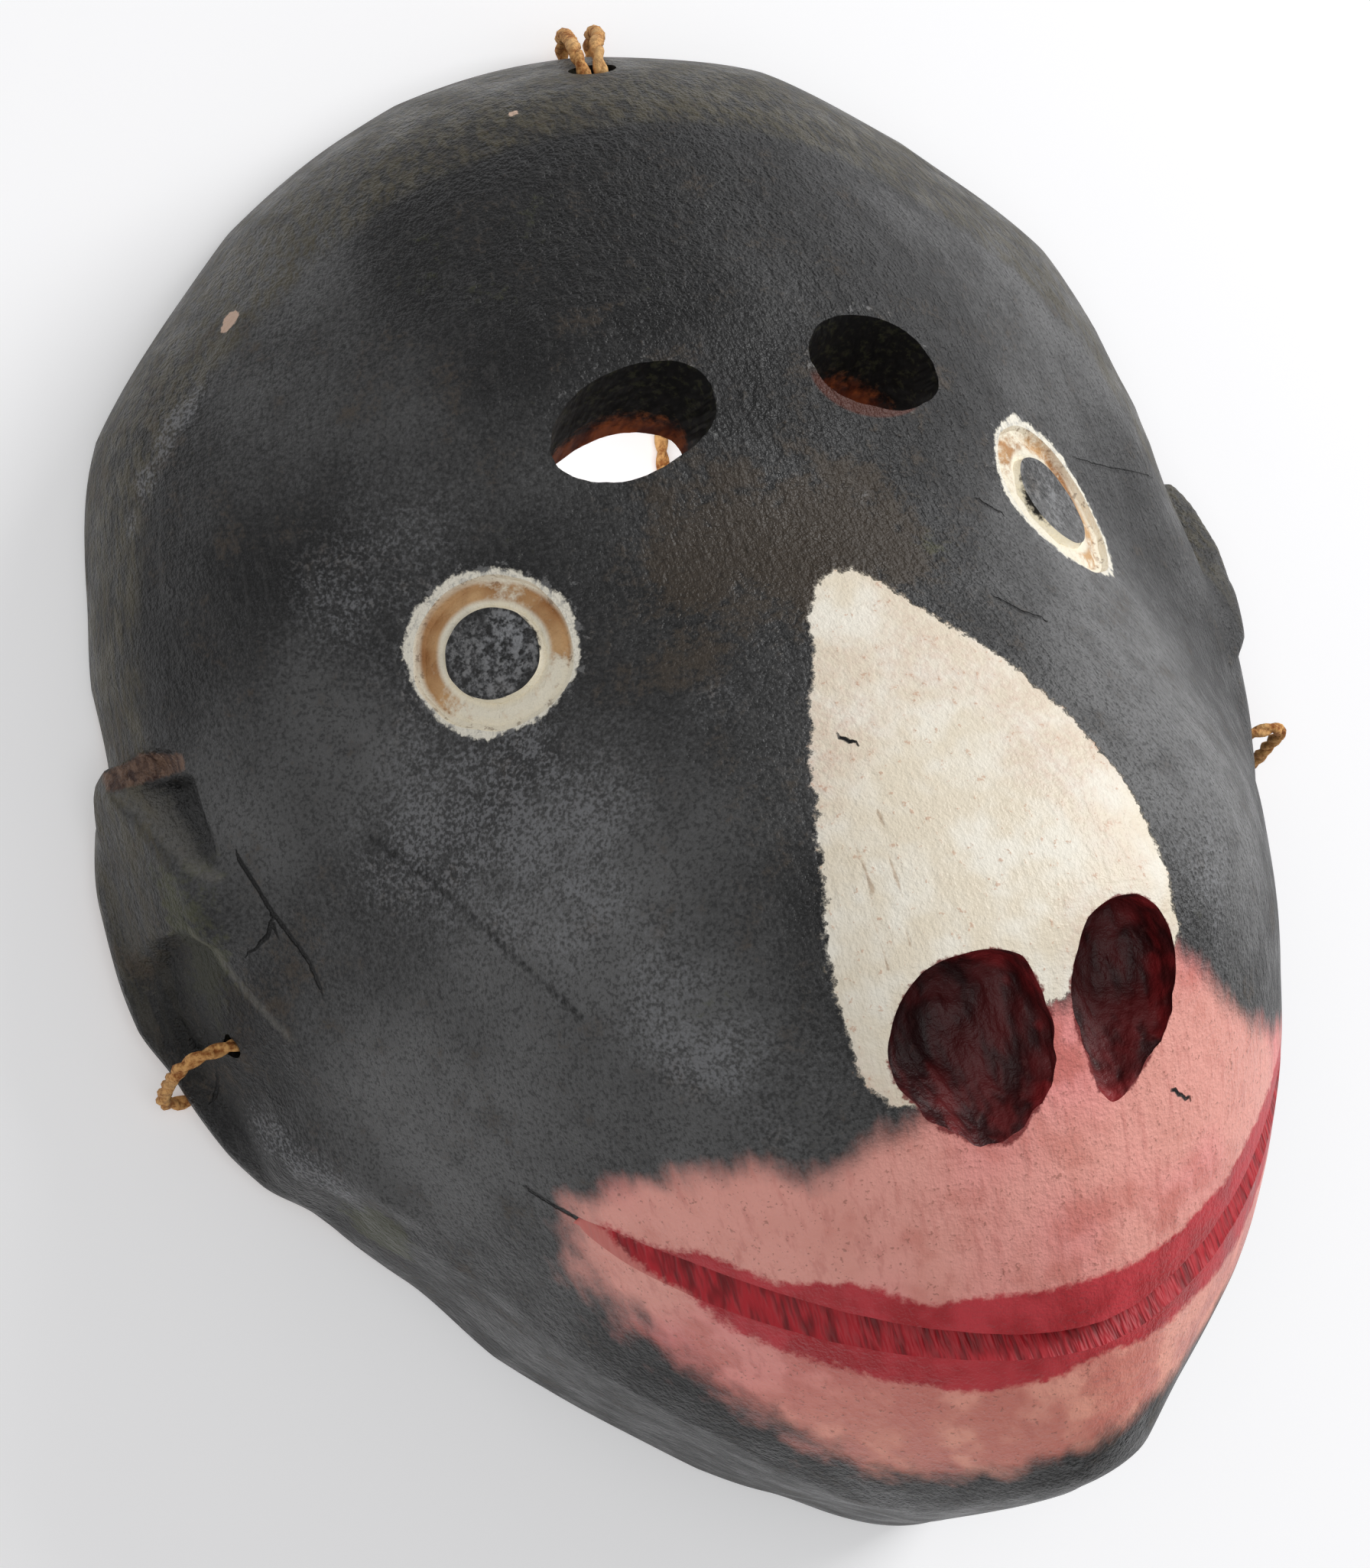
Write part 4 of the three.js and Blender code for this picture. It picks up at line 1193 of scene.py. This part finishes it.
def pink_paint(s):
    tone = s.attribute("tone")
    # The pink turns warmer and paler towards the chin: a warmer tint, with painted light on the
    # chin's front.
    pink_with_lit_chin = s.blend(s.place_y(), -0.088, -0.064, (244, 168, 148), (240, 150, 147))
    pink = s.mix(s.span(s.medium, 0.36, 0.62), s.coat(pink_with_lit_chin, 0.5, (200, 98, 94)), pink_with_lit_chin)
    pink = s.coat(pink, s.span(tone, -0.1, 0.5), (244, 178, 162), 0.7)
    pink = s.coat(pink, s.span(s.grain, 0.5, 0.7), (184, 96, 88), 0.3)
    patchy = s.add(s.medium, s.times(tone, 0.4))
    pink = s.coat(pink, s.fade(patchy, 0.4, 0.62, 0.42), (204, 116, 102))
    speckled = s.add(s.centred(s.grit, 1.0), s.centred(s.fine, 0.9))
    return s.coat(pink, s.span(speckled, 0.15, 0.3, 0.0, 0.5), (136, 84, 68))


def cream_paint(s):
    cream = s.blend(s.medium, 0.35, 0.7, (240, 228, 206), (250, 244, 230))
    stain = s.times(s.span("tone", -0.1, 0.5), s.span(s.fine, 0.4, 0.6, 0.2, 0.8))
    cream = s.coat(cream, stain, (220, 190, 174), 0.6)
    cream = s.coat(cream, s.span(s.fine, 0.62, 0.7), (206, 160, 132), 0.6)
    return s.coat(cream, s.fade(s.ragged("scratch", 0.55), 0.12, 0.42, 0.65), (178, 150, 122))


def eye_white(s, colour):
    """Cream round the channel, specks outside it and on the pupil."""
    q = s.attribute("eye")
    ring = s.fade(s.add(q, s.centred(s.uneven, 0.45)), 1.04, 1.09)
    colour = s.coat(colour, s.times(ring, s.span(q, 0.75, 0.8)), (252, 246, 230), 0.97)
    specks = s.span(s.add(s.fine, s.span(q, 1.0, 1.4, 0.06, -0.12)), 0.56, 0.66)
    colour = s.coat(colour, s.times(specks, s.fade(q, 1.45, 1.6)), (150, 150, 150), 0.4)
    on_pupil = s.times("rubbed", s.fade(q, 0.54, 0.58))
    rubbed = s.span(s.add(s.fine, s.centred(s.grit, 0.5)), 0.34, 0.74)
    return s.coat(colour, s.times(rubbed, on_pupil), (160, 162, 166), 0.7)


def paint_material():
    s = PaintedWood("worn_paint", roughness=0.5, specular=0.36)
    jag = s.add(s.centred(s.fine, 2.4), s.centred(s.medium, 1.6))
    colour = black_paint(s)
    pink_share = s.span(s.add("pink", s.centred(s.grain, 2.4)), -2.2, 2.4)
    colour = s.mix(pink_share, colour, pink_paint(s))
    red = s.blend(s.medium, 0.35, 0.65, (168, 24, 38), (196, 44, 58))
    red_share = s.span(s.add("red", s.times(jag, 0.9)), -0.4, 0.6)
    colour = s.mix(s.times(red_share, 0.94), colour, red)
    blaze_share = s.span(s.add("blaze", s.times(jag, 1.1)), -0.25, 0.35)
    colour = s.mix(blaze_share, colour, cream_paint(s))
    colour = eye_white(s, colour)
    maroon_share = s.span(s.add("nostril", jag), -0.3, 0.3)
    colour = s.coat(colour, maroon_share, (118, 30, 32), 0.9)
    hole = s.attribute("hole")
    flecks = s.times(s.fade(hole, 0.0, 1.6), s.span(s.fine, 0.6, 0.68))
    colour = s.coat(colour, flecks, (150, 150, 150), 0.4)
    bare = s.blend(s.grain, 0.35, 0.65, (66, 46, 40), (126, 100, 84))
    colour = s.mix(s.span(s.ragged("flat", 1.2), -0.2, 0.4), colour, bare)
    colour = s.coat(colour, s.span(s.ragged("raw", 0.9), 0.7, 0.85), (212, 180, 158))
    rim = s.times(s.span("rim", 0.4, 0.7), s.fade(hole, 0.1, 0.6))
    colour = s.coat(colour, rim, (78, 38, 26))
    crack = crack_line(s)
    colour = s.coat(colour, crack, (12, 11, 11))

    rough = s.span(s.medium, 0.3, 0.7, 0.36, 0.54)
    covered = s.math("MAXIMUM", blaze_share, s.times(pink_share, 0.7))
    skin = s.add(s.times(s.fine, 0.8), s.add(s.times(s.grit, 0.35), s.times(s.grain, 0.5)))
    skin = s.times(skin, s.span(covered, 0.0, 1.0, 1.0, 0.3))
    return s.finish(colour, rough, s.bump(s.add(skin, s.times(crack, -1.5)), 0.0009))


def wood_inside_material():
    s = Shading("hollow_wood", roughness=0.75, specular=0.3)
    grain = s.streaks(900, 60, 900, detail=3)
    gouges = s.cells(110, 45, 110)
    colour = s.blend(grain, 0.3, 0.7, (118, 84, 56), (160, 122, 84))
    colour = s.coat(colour, s.span(gouges, 0.2, 0.8), (70, 50, 36), 0.5)
    return s.finish(colour, normal=s.bump(s.add(s.times(grain, 0.15), gouges), 0.003))


def tunnel_material():
    """Walls of the holes: dark, with raw reddish wood where the paint gives out."""
    s = PaintedWood("hole_wood", roughness=0.7, specular=0.25)
    chisel = s.streaks(500, 500, 90)
    raw = s.blend(chisel, 0.35, 0.65, (112, 48, 24), (184, 96, 50))
    dark = s.blend(s.fine, 0.5, 0.66, (11, 10, 10), (48, 48, 32))
    share = s.math("MAXIMUM", s.span(s.ragged("drop", 8), 11.5, 16.0), s.span("raw", 0.3, 0.6))
    return s.finish(s.mix(share, dark, raw), normal=s.bump(chisel, 0.001))


def eye_material():
    """Carved channel of the eyes: tan wood with cream rubbed over it."""
    s = PaintedWood("eye_channel", roughness=0.7, specular=0.3)
    q = s.attribute("eye")
    bare = s.add("bare", s.centred(s.uneven, 3.0))
    middle = s.times(s.span(q, 0.66, 0.74), s.fade(q, 0.9, 0.98))
    tan = s.blend(s.medium, 0.3, 0.7, (172, 122, 76), (216, 174, 126))
    colour = s.mix(s.times(s.span(bare, 0.2, 0.8), middle), srgb(250, 242, 222), tan)
    # Patchy darker brown in the deepest part of the channel.
    darker_in_channel = s.times(s.span(q, 0.88, 0.94), s.span(s.fine, 0.56, 0.64))
    colour = s.coat(colour, darker_in_channel, (104, 70, 44), 0.5)
    colour = s.coat(colour, s.fade(s.ragged("eye", 0.08), 0.575, 0.6), (26, 25, 24))
    return s.finish(colour, normal=s.bump(s.fine, 0.0006))


def mouth_material():
    s = PaintedWood("mouth_paint", roughness=0.5, specular=0.4)
    chisel = s.streaks(900, 140, 300, roughness=0.7)
    red = s.blend(chisel, 0.3, 0.62, (120, 14, 22), (188, 34, 46))
    colour = s.mix(s.span(s.ragged("red", 2.4), -0.4, 0.5), srgb(214, 126, 118), red)
    return s.finish(colour, normal=s.bump(chisel, 0.0008))


def nostril_material():
    s = PaintedWood("nostril_paint", roughness=0.5, specular=0.35)
    cuts = s.streaks(260, 90, 260)
    colour = s.blend(cuts, 0.36, 0.62, (50, 14, 16), (106, 34, 36))
    colour = s.coat(colour, s.span(s.fine, 0.58, 0.7), (120, 76, 72), 0.25)
    # Painted shade: darker deeper in the pits.
    colour = s.coat(colour, s.span("drop", 4.0, 11.0, 0.0, 0.55), (20, 6, 7))
    dabs = s.times(s.fade("nostril", 0.0, 1.6), s.span(s.medium, 0.45, 0.58))
    colour = s.coat(colour, dabs, (160, 42, 46), 0.6)
    return s.finish(colour, normal=s.bump(s.add(s.times(s.fine, 0.3), cuts), 0.0012))


def make_mask():
    materials = [paint_material(), wood_inside_material(), tunnel_material(), eye_material(),
                 mouth_material(), nostril_material()]
    mask = blank_mask(materials)
    carve(mask, materials)
    paint_places(mask)
    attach(mask, "root")
    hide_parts("mask_body")


make_mask()

# ---- floor and light

FLOOR_SIZE = 3.0
FLOOR_GLOW = 0.27
SKY_GLOW = 0.3
WHITE = (1, 1, 1, 1)
LIGHTS = {
    "key": {"at": (1.2, 0.42, 0.8), "target": (0, 0, 0.03), "size": 0.8, "power": 14.5},
    "fill": {"at": (-0.3, -0.1, 1.3), "target": (0, 0, 0.03), "size": 1.0, "power": 4.5},
    "under the mask": {"at": (-0.005, 0.045, 0.03), "target": (0, 0.045, 0), "size": 0.05,
                       "power": 0.016},
}


def make_floor():
    s = Shading("floor", roughness=0.9, specular=0.1)
    s.shader.inputs["Emission Color"].default_value = WHITE
    s.shader.inputs["Emission Strength"].default_value = FLOOR_GLOW
    material = s.finish(srgb(236, 236, 238))
    half = FLOOR_SIZE / 2 / MM
    corners = [(-half, -half, 0), (half, -half, 0), (half, half, 0), (-half, half, 0)]
    floor = mesh_object("floor", corners, [(0, 1, 2, 3)], [material], smooth=False)


def area_light(name, at, target, size, power):
    data = bpy.data.lights.new(name, "AREA")
    data.shape = "RECTANGLE"
    data.size = data.size_y = size
    data.energy = power
    light = bpy.data.objects.new(name, data)
    light.location = at
    light.rotation_mode = "QUATERNION"
    light.rotation_quaternion = (Vector(target) - Vector(at)).to_track_quat("-Z", "Y")
    bpy.context.scene.collection.objects.link(light)


def make_lights():
    for name, light in LIGHTS.items():
        area_light(name, **light)
    world = bpy.data.worlds.new("studio")
    world.use_nodes = True
    background = world.node_tree.nodes["Background"]
    background.inputs["Color"].default_value = WHITE
    background.inputs["Strength"].default_value = SKY_GLOW
    bpy.context.scene.world = world
    bpy.context.scene.view_settings.view_transform = "Standard"


make_floor()
make_lights()
